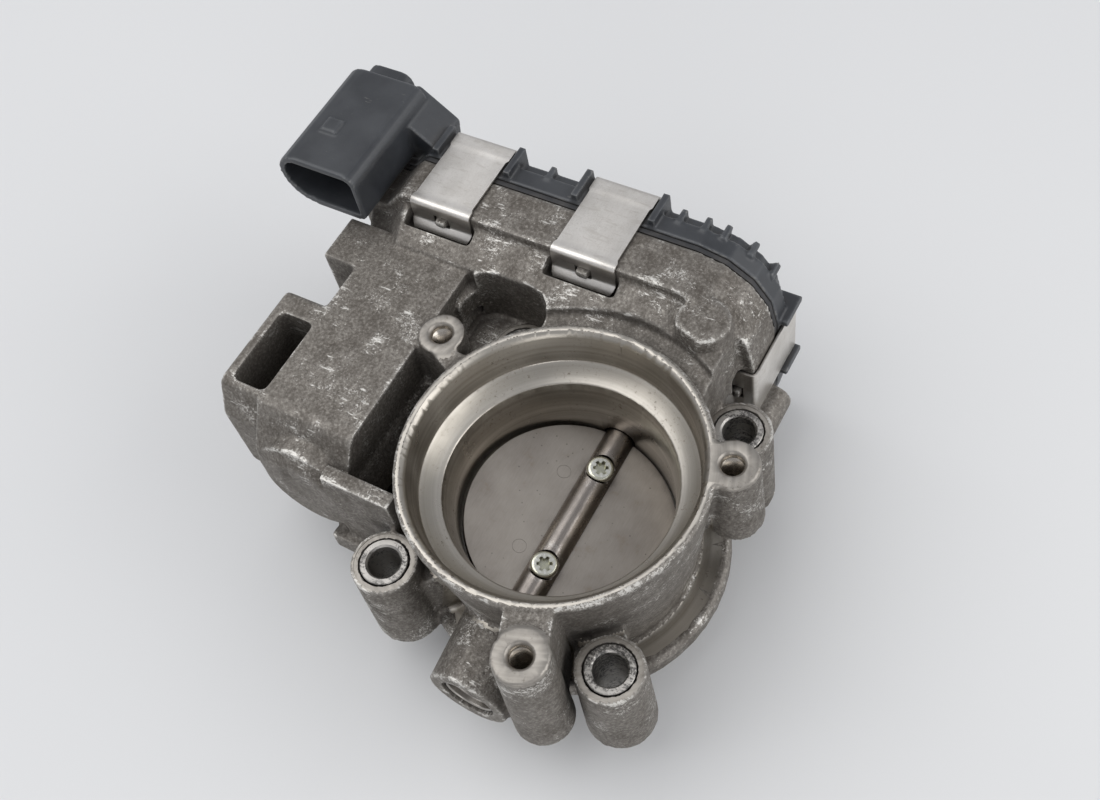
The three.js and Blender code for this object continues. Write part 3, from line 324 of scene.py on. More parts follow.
def thread_cutter(place):
    """A tapped hole: a chamfer, then grooves one pitch apart."""
    top = rim_z
    profile = [(0, top - thread_depth)]
    groove = 0.5 * MM
    turns = int((thread_depth - 2 * MM) / thread_pitch)
    for k in range(turns):
        z = top - thread_depth + (k + 0.5) * thread_pitch
        profile += [(thread_r, z), (thread_r + groove, z + thread_pitch / 2)]
    profile += [(thread_r, top - 1.9 * MM), (thread_r + 0.1 * MM, top - 0.9 * MM)]
    profile += [(3.3 * MM, top - 0.02 * MM), (3.3 * MM, top + 1 * MM), (0, top + 1 * MM)]
    return turned("thread_cutter", profile, 48, centre=(place.x, place.y, 0))


def tube_cutter():
    """The reamed mouth of the shaft's tube, on its far end from the gears."""
    reach = 6.65 * MM
    mouth = reach + 0.5 * MM
    profile = [(0, tube_x - 2 * MM), (mouth, tube_x - 2 * MM), (mouth, tube_x + 0.1 * MM),
               (reach, tube_x + 0.6 * MM), (reach, tube_x + 4 * MM), (0, tube_x + 4 * MM)]
    return turned("tube_cutter", profile, 96, "X", (0, 0, shaft_z))


rim_cut_z = rim_z - 0.06 * MM
cut_round(housing, rim_r + 0.4 * MM, rim_cut_z, rim_z + 2 * MM)
for place in duct_places:
    cut_round(housing, 8 * MM, rim_cut_z, rim_z + 2 * MM, place.x, place.y)
    cut_by(housing, thread_cutter(place))
cut_by(housing, bore_cutter())
sleeve_cut_z = sleeve_top_z - 0.22 * MM
for place in sleeve_places:
    cut_round(housing, 7.1 * MM, sleeve_cut_z, sleeve_top_z + 3 * MM, place.x, place.y)
cut_by(housing, tube_cutter())


def ramp(tree, value, low, high, to_low=0.0, to_high=1.0):
    """value from low to high, mapped to to_low to to_high and held at the ends."""
    inputs = {"Value": value, "From Min": low, "From Max": high,
              "To Min": to_low, "To Max": to_high}
    return shade(tree, "ShaderNodeMapRange", inputs, clamp=True).outputs[0]


def sums(tree, operation, a, b=0.0):
    """The values a and b joined by a Math node."""
    return shade(tree, "ShaderNodeMath", {0: a, 1: b}, operation=operation).outputs[0]


def times(tree, a, b):
    return sums(tree, "MULTIPLY", a, b)


def stretched(tree, place, scale, rotation=(0, 0, 0)):
    """Coordinates scaled along each axis, so that what reads them is drawn out into lines."""
    inputs = {"Vector": place, "Scale": scale, "Rotation": rotation}
    return shade(tree, "ShaderNodeMapping", inputs).outputs[0]


def effect_group(name, inputs, outputs):
    """A shader node group with float inputs {name: value} and float outputs, with the object
    coordinates."""
    tree = bpy.data.node_groups.new(name, "ShaderNodeTree")
    for key, value in inputs.items():
        socket = tree.interface.new_socket(key, in_out="INPUT", socket_type="NodeSocketFloat")
        socket.default_value = value
    for key in outputs:
        tree.interface.new_socket(key, in_out="OUTPUT", socket_type="NodeSocketFloat")
    given = tree.nodes.new("NodeGroupInput").outputs
    result = tree.nodes.new("NodeGroupOutput").inputs
    return tree, given, result, shade(tree, "ShaderNodeTexCoord").outputs["Object"]


def grain_group():
    """Skin of a casting or moulding: grains of a size in metres, with pits between them."""
    tree, given, result, place = effect_group(
        "surface_grain", {"Grain Size": 0.0005, "Pits": 0.3}, ["Height", "Blotch"])
    scale = sums(tree, "DIVIDE", 1.0, given["Grain Size"])
    fine = shade(tree, "ShaderNodeTexNoise", {
        "Vector": place, "Scale": scale, "Detail": 6.0, "Roughness": 0.62})
    coarse = shade(tree, "ShaderNodeTexNoise", {
        "Vector": place, "Scale": times(tree, scale, 0.11), "Detail": 3.0})
    pits = shade(tree, "ShaderNodeTexVoronoi", {
        "Vector": place, "Scale": times(tree, scale, 0.42), "Randomness": 1.0})
    pit = ramp(tree, pits.outputs["Distance"], 0.0, 0.32, 1.0, 0.0)
    rare = ramp(tree, coarse.outputs[0], 0.48, 0.62)
    pit = times(tree, times(tree, pit, rare), given["Pits"])
    height = sums(tree, "ADD", times(tree, fine.outputs[0], 0.55), coarse.outputs[0])
    tree.links.new(sums(tree, "SUBTRACT", height, pit), result["Height"])
    tree.links.new(coarse.outputs[0], result["Blotch"])
    return tree


def wear_group():
    """Speckles and rubbed patches, more on edges that stand out, by Amount."""
    tree, given, result, place = effect_group(
        "rubbed_wear", {"Speckle Size": 0.0006, "Amount": 0.5}, ["Speckle", "Edge"])
    scale = sums(tree, "DIVIDE", 1.0, given["Speckle Size"])
    dots = shade(tree, "ShaderNodeTexNoise", {
        "Vector": place, "Scale": scale, "Detail": 7.0, "Roughness": 0.78})
    patch = noise(tree, place, 0.009, 3.0, 0.6, 0.4)
    slanting = stretched(tree, place, (1.0, 0.22, 1.0), (0.3, 0.2, 0.7))
    streak = noise(tree, slanting, 0.0011, 5.0, 0.7)
    pointed = shade(tree, "ShaderNodeNewGeometry").outputs["Pointiness"]
    edge = ramp(tree, pointed, 0.505, 0.56)
    base = times(tree, ramp(tree, patch, 0.44, 0.66), given["Amount"])
    level = sums(tree, "SUBTRACT", 0.665, times(tree, base, 0.16))
    level = sums(tree, "SUBTRACT", level, times(tree, edge, 0.16))
    best = sums(tree, "MAXIMUM", dots.outputs[0], times(tree, streak, 0.97))
    over = sums(tree, "SUBTRACT", best, level)
    tree.links.new(ramp(tree, over, 0.0, 0.07), result["Speckle"])
    tree.links.new(edge, result["Edge"])
    return tree


def grime_and_shade_group():
    """A mask for corners, from how closed in each point is, broken up by blotches, by Amount: painted shade mixed
    with dirt where it darkens a colour, dust where it pales one.
    """
    tree, given, result, place = effect_group(
        "corner_grime_and_shade", {"Reach": 0.005, "Amount": 0.8}, ["Mask"])
    # How closed in a point is, from ambient occlusion: where a material darkens by this mask, it paints shade into
    # corners.
    closed = shade(tree, "ShaderNodeAmbientOcclusion", {"Distance": given["Reach"]}, samples=6)
    blotch = sums(tree, "SUBTRACT", noise(tree, place, 0.004, 5.0, 0.65), 0.5)
    depth = sums(tree, "SUBTRACT", 1.0, closed.outputs["AO"])
    depth = sums(tree, "ADD", depth, times(tree, blotch, 0.7))
    mask = times(tree, ramp(tree, depth, 0.18, 0.75), given["Amount"])
    tree.links.new(mask, result["Mask"])
    return tree


surface_grain = grain_group()
rubbed_wear = wear_group()
corner_grime_and_shade = grime_and_shade_group()


def effect(tree, group, **inputs):
    """An effect group placed in a material, with its own values."""
    made = tree.nodes.new("ShaderNodeGroup")
    made.node_tree = group
    for key, value in inputs.items():
        made.inputs[key.replace("_", " ").title()].default_value = value
    return made.outputs


def coat(material, colour, rough, height, depth, metallic=0.0, gloss=0.5):
    """Gives the shader its colour, roughness, metallic and specular level, and a height that is
    worth depth in metres."""
    tree = material.node_tree
    bump = shade(tree, "ShaderNodeBump", {"Height": height, "Distance": depth})
    give(tree, tree.nodes["Principled BSDF"], {
        "Base Color": colour, "Roughness": rough, "Metallic": metallic,
        "Specular IOR Level": gloss, "Normal": bump.outputs["Normal"]})
    return material


def cast_aluminium():
    """Weathered die-cast skin: taupe grey, grainy, with bright scuffs and dark corners, which are painted shade
    mixed with dirt.
    """
    material, tree, place = new_material("cast_aluminium")
    grain = effect(tree, surface_grain, grain_size=0.00050, pits=0.6)
    wear = effect(tree, rubbed_wear, speckle_size=0.00055, amount=0.9)
    grime_and_shade = effect(tree, corner_grime_and_shade, reach=0.006, amount=0.92)
    blotch = ramp(tree, grain["Blotch"], 0.35, 0.68)
    tone = tint(tree, blotch, (0.135, 0.120, 0.104), (0.245, 0.226, 0.202))
    wide = noise(tree, place, 0.022, 3.0, 0.6)
    tone = tint(tree, ramp(tree, wide, 0.38, 0.66), tone, (0.215, 0.197, 0.175))
    mottle = noise(tree, place, 0.0008, 5.0, 0.72)
    tone = tint(tree, ramp(tree, mottle, 0.38, 0.54, 0.62, 0.0), tone, (0.080, 0.068, 0.057))
    tone = tint(tree, ramp(tree, mottle, 0.54, 0.66, 0.0, 0.55), tone, (0.40, 0.375, 0.335))
    bright = tint(tree, wear["Speckle"], tone, (0.64, 0.62, 0.58))
    bright = tint(tree, times(tree, wear["Edge"], 0.38), bright, (0.48, 0.46, 0.425))
    # Painted shade: corners darkened by how closed in they are, mixed with blotchy dirt.
    colour = tint(tree, grime_and_shade["Mask"], bright, (0.052, 0.045, 0.038))
    rough = sums(tree, "SUBTRACT", ramp(tree, grain["Blotch"], 0.3, 0.7, 0.66, 0.50),
                 times(tree, wear["Speckle"], 0.14))
    rough = sums(tree, "ADD", rough, times(tree, grime_and_shade["Mask"], 0.2))
    metallic = sums(tree, "SUBTRACT", 0.78, times(tree, grime_and_shade["Mask"], 0.6))
    return coat(material, colour, rough, grain["Height"], 0.00026, metallic)


def turned_metal(name, light, dark, rough, dirt_and_shade):
    """Bright metal with the fine rings of a turning tool about the bore, some dirt, and painted shade in its
    hollows.
    """
    material, tree, place = new_material(name)
    parts = shade(tree, "ShaderNodeSeparateXYZ", {0: place}).outputs
    squares = [sums(tree, "POWER", parts[axis], 2.0) for axis in (0, 1)]
    radius = sums(tree, "SQRT", sums(tree, "ADD", *squares))
    rings = shade(tree, "ShaderNodeCombineXYZ", {0: radius, 2: parts[2]}).outputs[0]
    fine = noise(tree, rings, 0.00012, 2.0)
    broad = noise(tree, rings, 0.0016, 3.0)
    cloud = noise(tree, place, 0.010, 4.0, 0.6)
    speck = noise(tree, place, 0.0009, 6.0, 0.75)
    colour = tint(tree, ramp(tree, broad, 0.35, 0.65), light, dark)
    stain = times(tree, ramp(tree, speck, 0.56, 0.68), ramp(tree, cloud, 0.45, 0.62))
    grime_and_shade = effect(tree, corner_grime_and_shade, reach=0.004, amount=dirt_and_shade)
    # From here stain holds the real stains and painted shade in the hollows, darkened by how closed in they are.
    stain = sums(tree, "MAXIMUM", times(tree, stain, dirt_and_shade), grime_and_shade["Mask"])
    colour = tint(tree, stain, colour, (0.11, 0.085, 0.06))
    rough = ramp(tree, cloud, 0.3, 0.7, rough - 0.05, rough + 0.07)
    rough = sums(tree, "ADD", rough, times(tree, stain, 0.3))
    return coat(material, colour, rough, fine, 0.000006, 1.0)


as_cast, as_turned, as_tapped, as_levelled = range(4)


def in_circle(centre, place, radius):
    return (centre - place).xy.length < radius


def machined_face(polygon):
    """Which of the casting's four materials a face has: the bore, its step and the rim are
    turned, and the tops of bosses and the manifold face are levelled."""
    centre, facing_up = polygon.center, polygon.normal.z
    for place in duct_places:
        in_thread = rim_z - 20 * MM < centre.z < rim_z - 0.8 * MM
        if in_thread and in_circle(centre, place, 3.6 * MM):
            return as_tapped
        if in_circle(centre, place, 7 * MM) and centre.z > rim_z - 1.1 * MM:
            return as_levelled
    outward = polygon.normal.xy.dot(centre.xy.normalized())
    in_bore = centre.xy.length < inlet_r + 1.25 * MM and centre.z < rim_z - 0.09 * MM
    if in_bore and outward < 0.3:
        return as_turned
    flange_edge = sleeve_places[0].y + 9 * MM
    if centre.z < 0.3 * MM and facing_up < -0.9 and centre.y < flange_edge:
        return as_levelled
    on_rim = centre.z > rim_z - 0.08 * MM and centre.xy.length < rim_r + 0.4 * MM
    if on_rim and facing_up > 0.95:
        return as_turned
    by_sleeve = any(in_circle(centre, place, 7.3 * MM) for place in sleeve_places)
    if by_sleeve and sleeve_top_z - 0.4 * MM < centre.z < sleeve_top_z and facing_up > 0.9:
        return as_levelled
    return as_cast


housing.data.materials.clear()
for material in (
        cast_aluminium(),
        turned_metal("turned_bore", (0.47, 0.44, 0.395), (0.34, 0.315, 0.275), 0.31, 0.85),
        turned_metal("tapped_thread", (0.66, 0.62, 0.56), (0.46, 0.42, 0.37), 0.22, 0.3),
        turned_metal("levelled_boss", (0.37, 0.345, 0.31), (0.27, 0.25, 0.225), 0.45, 0.7)):
    housing.data.materials.append(material)
for polygon in housing.data.polygons:
    polygon.material_index = machined_face(polygon)
smooth_by_angle(housing, 38)
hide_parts("throttle_housing")
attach(housing, "housing")


# ---- Mounting sleeves
# Steel tubes pressed into the four mounting bosses, so that the screws don't crush the casting.
# Dull, with a small chamfer at the mouth, pale worn speckles, and painted shade mixed with dirt in its corners.
def dull_steel():
    material, tree, place = new_material("dull_steel")
    wear = effect(tree, rubbed_wear, speckle_size=0.0006, amount=0.7)
    grime_and_shade = effect(tree, corner_grime_and_shade, reach=0.004, amount=0.8)
    cloud = noise(tree, place, 0.003, 5.0, 0.6)
    tone = tint(tree, ramp(tree, cloud, 0.35, 0.68), (0.085, 0.080, 0.077), (0.165, 0.158, 0.150))
    tone = tint(tree, wear["Speckle"], tone, (0.46, 0.44, 0.41))
    # Painted shade: corners darkened by how closed in they are, mixed with blotchy dirt.
    colour = tint(tree, grime_and_shade["Mask"], tone, (0.06, 0.05, 0.045))
    rough = ramp(tree, cloud, 0.3, 0.7, 0.36, 0.55)
    return coat(material, colour, rough, cloud, 0.00004, 0.9)


def dress(piece, node, material, body):
    """Gives a piece its material and puts it in a CAD node's place."""
    piece.data.materials.clear()
    piece.data.materials.append(material)
    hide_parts(node)
    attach(piece, body)


sleeve_metal = dull_steel()
for number, (low, high) in enumerate(sleeves, 1):
    outer = (high.x - low.x) / 2
    inner = outer - 1.8 * MM
    chamfer = 0.45 * MM
    nib = 0.2 * MM
    profile = [
        (inner, low.z + chamfer), (inner + chamfer, low.z), (outer - nib, low.z),
        (outer, low.z + nib), (outer, high.z - nib), (outer - nib, high.z),
        (inner + chamfer, high.z), (inner, high.z - chamfer),
    ]
    middle = (low + high) / 2
    sleeve = turned(f"screw_sleeve_{number}", profile, 96, centre=(middle.x, middle.y, 0))
    smooth_by_angle(sleeve, 30)
    dress(sleeve, f"mount_sleeve_{number}", sleeve_metal, "housing")


# ---- Throttle shaft
# A ground steel rod across the bore, slotted for the plate and spot-faced for its two screws,
# dark with use and finely scratched along its length.
def ground_steel(name, light, dark, rough, dirt_and_shade):
    """Dark ground or pressed steel with cloudy stains, fine scratches along X, and painted shade mixed with dirt
    in its corners.
    """
    material, tree, place = new_material(name)
    scratch = noise(tree, stretched(tree, place, (0.08, 1.0, 1.0)), 0.00015, 3.0, 0.6)
    cloud = noise(tree, place, 0.006, 5.0, 0.6)
    wear = effect(tree, rubbed_wear, speckle_size=0.0004, amount=0.5)
    grime_and_shade = effect(tree, corner_grime_and_shade, reach=0.003, amount=dirt_and_shade)
    tone = tint(tree, ramp(tree, cloud, 0.35, 0.65), light, dark)
    tone = tint(tree, ramp(tree, scratch, 0.3, 0.7, 0.0, 0.35), tone, tuple(c * 1.5 for c in light))
    tone = tint(tree, times(tree, wear["Speckle"], 0.5), tone, (0.55, 0.53, 0.50))
    # Painted shade: corners darkened by how closed in they are, mixed with blotchy dirt.
    colour = tint(tree, grime_and_shade["Mask"], tone, (0.05, 0.04, 0.032))
    rough = ramp(tree, cloud, 0.3, 0.7, rough - 0.06, rough + 0.1)
    return coat(material, colour, rough, scratch, 0.000004, 1.0)


def weld(piece):
    """Joins points closer than a few microns and splits flat faces into triangles."""
    made = bmesh.new()
    made.from_mesh(piece.data)
    bmesh.ops.remove_doubles(made, verts=made.verts, dist=4e-6)
    bmesh.ops.dissolve_degenerate(made, edges=made.edges, dist=1e-6)
    bmesh.ops.triangulate(made, faces=made.faces)
    made.to_mesh(piece.data)
    made.free()


spindle_low, spindle_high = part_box("throttle_shaft")
spindle_r = (spindle_high.z - spindle_low.z) / 2
rest_tilt = math.radians(14)
screw_seats = [sum(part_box(f"plate_screw_{i}"), Vector()).x / 2 for i in (1, 2)]


def on_spindle(piece):
    """Turns a piece made with the plate level to where the spindle rests."""
    turn = Matrix.Translation((0, 0, shaft_z)) @ Matrix.Rotation(rest_tilt, 4, "X")
    piece.data.transform(turn)
    return piece


def shaft_rod():
    """The rod, about X with the plate's slot level."""
    nib = 0.5 * MM
    start = spindle_low.x + nib
    profile = [(0, spindle_low.x), (spindle_r - nib, spindle_low.x), (spindle_r, start)]
    steps = 60
    for k in range(steps + 1):
        profile.append((spindle_r, start + (spindle_high.x - spindle_low.x - 2 * nib) * k / steps))
    profile += [(spindle_r - nib, spindle_high.x), (0, spindle_high.x)]
    return turned("throttle_rod", profile, 96, "X")


def block(name, low, high):
    made = bmesh.new()
    bmesh.ops.create_cube(made, size=1.0)
    for vert in made.verts:
        vert.co = [low[i] if vert.co[i] < 0 else high[i] for i in range(3)]
    return piece_of(made, name)


rod = shaft_rod()
slot_reach = bore_r + 0.05 * MM
slot_gap = 1.15 * MM
slot_corner = Vector((slot_reach, 6 * MM, slot_gap))
cut_by(rod, block("plate_slot", -slot_corner, slot_corner))
seat_r = 3.7 * MM
seat_z = 2.5 * MM
screw_hole_r = 2.2 * MM
for x in screw_seats:
    cut_round(rod, seat_r, seat_z, 6 * MM, x)
    cut_round(rod, screw_hole_r, -6 * MM, 6 * MM, x, steps=48)
weld(rod)
smooth_by_angle(rod, 35)
on_spindle(rod)
rod_metal = ground_steel("dark_ground_steel", (0.30, 0.27, 0.245), (0.18, 0.16, 0.145), 0.27, 0.8)
dress(rod, "throttle_shaft", rod_metal, "throttle")


# ---- Throttle plate and its screws
# A pressed steel disc, matt and evenly grey, with the two faint round marks of its press tool,
# held in the rod by two plated screws with six-lobed sockets.
plate_half = 1.0 * MM
tool_marks = [(-11.5 * MM, 7.6 * MM), (10.5 * MM, 7.6 * MM)]
closed_tilt = math.radians(7)


def plate_disc():
    """The disc, level, with its edge at the slant that meets the bore when closed."""
    made = bmesh.new()
    rings = []
    edge = 0.1 * MM
    steps = 256
    slant = math.tan(closed_tilt)
    spans = [(0.0, plate_half), (plate_r * 0.5, plate_half), (plate_r - edge, plate_half),
             (plate_r, plate_half - edge), (plate_r, -plate_half + edge),
             (plate_r - edge, -plate_half), (plate_r * 0.5, -plate_half), (0.0, -plate_half)]
    for radius, height in spans:
        if radius == 0.0:
            rings.append([made.verts.new((0, 0, height))] * steps)
            continue
        ring = []
        for k in range(steps):
            a = math.tau * k / steps
            along = radius * math.sin(a) / math.cos(closed_tilt)
            if radius > plate_r * 0.6:
                along -= height * slant
            ring.append(made.verts.new((radius * math.cos(a), along, height)))
        rings.append(ring)
    for upper, lower in zip(rings, rings[1:]):
        for k in range(steps):
            n = (k + 1) % steps
            add_face(made, [upper[k], lower[k], lower[n], upper[n]])
    bmesh.ops.recalc_face_normals(made, faces=made.faces)
    return piece_of(made, "throttle_disc")


disc = plate_disc()
mark_depth = 0.07 * MM
for x, y in tool_marks:
    profile = [(1.62 * MM, plate_half - mark_depth), (1.74 * MM, plate_half - mark_depth),
               (1.80 * MM, plate_half + 0.2 * MM), (1.56 * MM, plate_half + 0.2 * MM)]
    cut_by(disc, turned("mark_cutter", profile, 64, centre=(x, y, 0)))
for x in screw_seats:
    cut_round(disc, screw_hole_r, -3 * MM, 3 * MM, x, steps=48)
smooth_by_angle(disc, 30)
on_spindle(disc)


def plate_metal():
    """Rolled sheet: even grey with soft clouds, small dark dots and brownish stains in patches."""
    material, tree, place = new_material("rolled_plate")
    cloud = noise(tree, place, 0.014, 4.0, 0.55)
    rolled = noise(tree, stretched(tree, place, (0.12, 1.0, 1.0)), 0.0003, 4.0, 0.6)
    dots = shade(tree, "ShaderNodeTexVoronoi", {"Vector": place, "Scale": 420.0})
    dot = ramp(tree, dots.outputs["Distance"], 0.05, 0.10, 1.0, 0.0)
    stain = ramp(tree, noise(tree, place, 0.007, 6.0, 0.7), 0.60, 0.72)
    grime_and_shade = effect(tree, corner_grime_and_shade, reach=0.003, amount=0.7)
    tone = tint(tree, ramp(tree, cloud, 0.35, 0.65), (0.33, 0.30, 0.265), (0.25, 0.225, 0.20))
    tone = tint(tree, ramp(tree, rolled, 0.3, 0.7, 0.0, 0.18), tone, (0.45, 0.42, 0.39))
    tone = tint(tree, times(tree, stain, 0.35), tone, (0.22, 0.15, 0.085))
    # The dark mask holds the real dots and painted shade in corners, from how closed in they are, mixed with
    # blotchy dirt.
    dark = sums(tree, "MAXIMUM", times(tree, dot, 0.55), grime_and_shade["Mask"])
    colour = tint(tree, dark, tone, (0.06, 0.05, 0.042))
    rough = ramp(tree, cloud, 0.3, 0.7, 0.40, 0.50)
    return coat(material, colour, rough, rolled, 0.000004, 0.9)


dress(disc, "throttle_plate", plate_metal(), "throttle")


def star_socket(name, reach, low, high):
    """A six-lobed driver's shape, about Z."""
    made = bmesh.new()
    steps = 96
    rings = []
    for height in (low, high):
        ring = []
        for k in range(steps):
            a = math.tau * k / steps
            radius = reach * (0.845 + 0.155 * math.tanh(2.2 * math.cos(6 * a)) / math.tanh(2.2))
            ring.append(made.verts.new((radius * math.cos(a), radius * math.sin(a), height)))
        rings.append(ring)
    for k in range(steps):
        n = (k + 1) % steps
        made.faces.new((rings[0][k], rings[0][n], rings[1][n], rings[1][k]))
    made.faces.new(list(reversed(rings[0])))
    made.faces.new(rings[1])
    return piece_of(made, name)


def plated_steel():
    """Zinc plating with a faint yellow tone, worn on the socket's edges, with painted shade mixed with dirt in the
    socket.
    """
    material, tree, place = new_material("yellow_zinc")
    cloud = noise(tree, place, 0.0011, 4.0, 0.6)
    grime_and_shade = effect(tree, corner_grime_and_shade, reach=0.0012, amount=0.85)
    wear = effect(tree, rubbed_wear, speckle_size=0.0003, amount=0.8)
    tone = tint(tree, ramp(tree, cloud, 0.38, 0.62), (0.56, 0.55, 0.42), (0.40, 0.40, 0.33))
    tone = tint(tree, wear["Edge"], tone, (0.80, 0.79, 0.74))
    # Painted shade: the socket and corners darkened by how closed in they are, mixed with blotchy dirt.
    colour = tint(tree, grime_and_shade["Mask"], tone, (0.07, 0.06, 0.04))
    rough = ramp(tree, cloud, 0.3, 0.7, 0.16, 0.30)
    return coat(material, colour, rough, cloud, 0.00001, 1.0)


zinc = plated_steel()


def screw_with_star(name, x, head_r, head_low, head_height, shank_r, tip, socket_r):
    """A low-headed screw about Z, its head's edge well rounded, with a threaded shank."""
    top = head_low + head_height
    profile = [(0, tip), (shank_r - 0.5 * MM, tip)]
    pitch = 0.7 * MM
    turns = int((head_low - tip - 0.5 * MM) / pitch)
    for k in range(turns):
        z = tip + 0.2 * MM + k * pitch
        profile += [(shank_r - 0.35 * MM, z), (shank_r, z + pitch / 2)]
    nib = 0.15 * MM
    profile += [(shank_r - 0.2 * MM, head_low), (head_r - nib, head_low), (head_r, head_low + nib)]
    waist = head_low + head_height * 0.45
    profile.append((head_r, waist))
    for k in range(1, 9):
        a = math.pi / 2 * k / 8
        profile.append((head_r - MM * (1 - math.cos(a)), waist + (top - waist) * math.sin(a)))
    profile.append((0, top + 0.08 * MM))
    screw = turned(name, profile, 72, centre=(x, 0, 0))
    socket = star_socket("socket_cutter", socket_r, top - 1.15 * MM, top + 1 * MM)
    socket.data.transform(Matrix.Translation((x, 0, 0)))
    cut_by(screw, socket)
    weld(screw)
    smooth_by_angle(screw, 35)
    return screw


for number, x in enumerate(screw_seats, 1):
    screw = screw_with_star(f"disc_screw_{number}", x, head_r=3.4 * MM, head_low=2.65 * MM,
                            head_height=1.7 * MM, shank_r=2.0 * MM, tip=-3.4 * MM,
                            socket_r=1.9 * MM)
    dress(on_spindle(screw), f"plate_screw_{number}", zinc, "throttle")


# ---- Bearings, lip seal and end plug
# A plain ring of bright steel for each bearing at the ends of the shaft, a black rubber lip seal
# before the gear case, and a pressed steel cap that closes the shaft's tube.
def rounded_part(node, name, material, body, width, segments=3, degrees=30):
    """Puts a CAD node's solid, its sharp edges rounded off by width, in the node's place."""
    piece = merged_copy(node, name)
    rounding = piece.modifiers.new("rounding", "BEVEL")
    rounding.width = width
    rounding.segments = segments
    rounding.limit_method = "ANGLE"
    rounding.angle_limit = math.radians(degrees)
    rounding.use_clamp_overlap = True
    settle(piece)
    smooth_by_angle(piece, 40)
    dress(piece, node, material, body)


bearing_metal = ground_steel("bearing_steel", (0.50, 0.49, 0.47), (0.36, 0.35, 0.33), 0.24, 0.6)
for node in ("shaft_bearing_far", "shaft_bearing_gear"):
    rounded_part(node, node + "_ring", bearing_metal, "housing", 0.15 * MM)


def black_rubber():
    """Matt rubber with dust in its corners and small moulding pits."""
    material, tree, place = new_material("black_rubber")
    grain = effect(tree, surface_grain, grain_size=0.0002, pits=0.4)
    dust = noise(tree, place, 0.004, 5.0, 0.65)
    grime_and_shade = effect(tree, corner_grime_and_shade, reach=0.003, amount=0.45)
    dust_mask = ramp(tree, dust, 0.45, 0.72, 0.0, 0.35)
    tone = tint(tree, dust_mask, (0.022, 0.022, 0.024), (0.12, 0.11, 0.10))
    colour = tint(tree, grime_and_shade["Mask"], tone, (0.075, 0.065, 0.055))
    rough = ramp(tree, dust, 0.3, 0.7, 0.55, 0.75)
    return coat(material, colour, rough, grain["Height"], 0.00003)


seal_rubber = black_rubber()
rounded_part("shaft_seal", "lip_seal", seal_rubber, "housing", 0.2 * MM)
cap_metal = ground_steel("pressed_cap", (0.38, 0.36, 0.33), (0.27, 0.25, 0.23), 0.33, 0.9)
rounded_part("shaft_end_plug", "shaft_cap", cap_metal, "housing", 0.4 * MM, 4)


# ---- Gear cover with its connector
# One moulding of black glass-filled nylon: satin, slightly blue, scratched and dusty, its long
# edges rubbed pale. The clips sit between its shoulders, and the plug's shroud grows out of one
# corner.
def moulded_black():
    material, tree, place = new_material("moulded_black")
    grain = effect(tree, surface_grain, grain_size=0.00022, pits=0.25)
    wear = effect(tree, rubbed_wear, speckle_size=0.0003, amount=0.35)
    grime_and_shade = effect(tree, corner_grime_and_shade, reach=0.003, amount=0.5)
    cloud = noise(tree, place, 0.012, 5.0, 0.6)
    tone = tint(tree, ramp(tree, cloud, 0.35, 0.7), (0.021, 0.023, 0.027), (0.038, 0.041, 0.046))
    tone = tint(tree, times(tree, wear["Edge"], 0.28), tone, (0.20, 0.21, 0.22))
    tone = tint(tree, times(tree, wear["Speckle"], 0.40), tone, (0.24, 0.23, 0.21))
    colour = tint(tree, grime_and_shade["Mask"], tone, (0.085, 0.075, 0.063))
    rough = ramp(tree, cloud, 0.3, 0.7, 0.34, 0.46)
    return coat(material, colour, rough, grain["Height"], 0.00002, gloss=0.55)


cover = merged_copy("gear_cover", "cover_moulding")
cast_skin(cover, 0.40 * MM, 2, 110000)
smooth_by_angle(cover, 60)
dress(cover, "gear_cover", moulded_black(), "housing")


# ---- Connector pins
# Six flat blades of tinned brass stand in the shroud's floor, with rounded edges.
def tinned():
    material, tree, place = new_material("tinned_brass")
    cloud = noise(tree, place, 0.0012, 5.0, 0.6)
    streak = noise(tree, stretched(tree, place, (0.1, 1.0, 1.0)), 0.0002, 3.0)
    tone = tint(tree, ramp(tree, cloud, 0.35, 0.65), (0.66, 0.64, 0.60), (0.50, 0.46, 0.38))
    rough = ramp(tree, streak, 0.3, 0.7, 0.18, 0.34)
    return coat(material, tone, rough, streak, 0.000004, 1.0)


tin = tinned()
for number in range(1, 7):
    rounded_part(f"connector_pin_{number}", f"connector_blade_{number}", tin,
                 "housing", 0.22 * MM)


# ---- Cover seal
# A black rubber ring squeezed between the case and its cover, a little proud of the joint.
rounded_part("cover_seal", "cover_ring", seal_rubber, "housing", 0.35 * MM, 4)


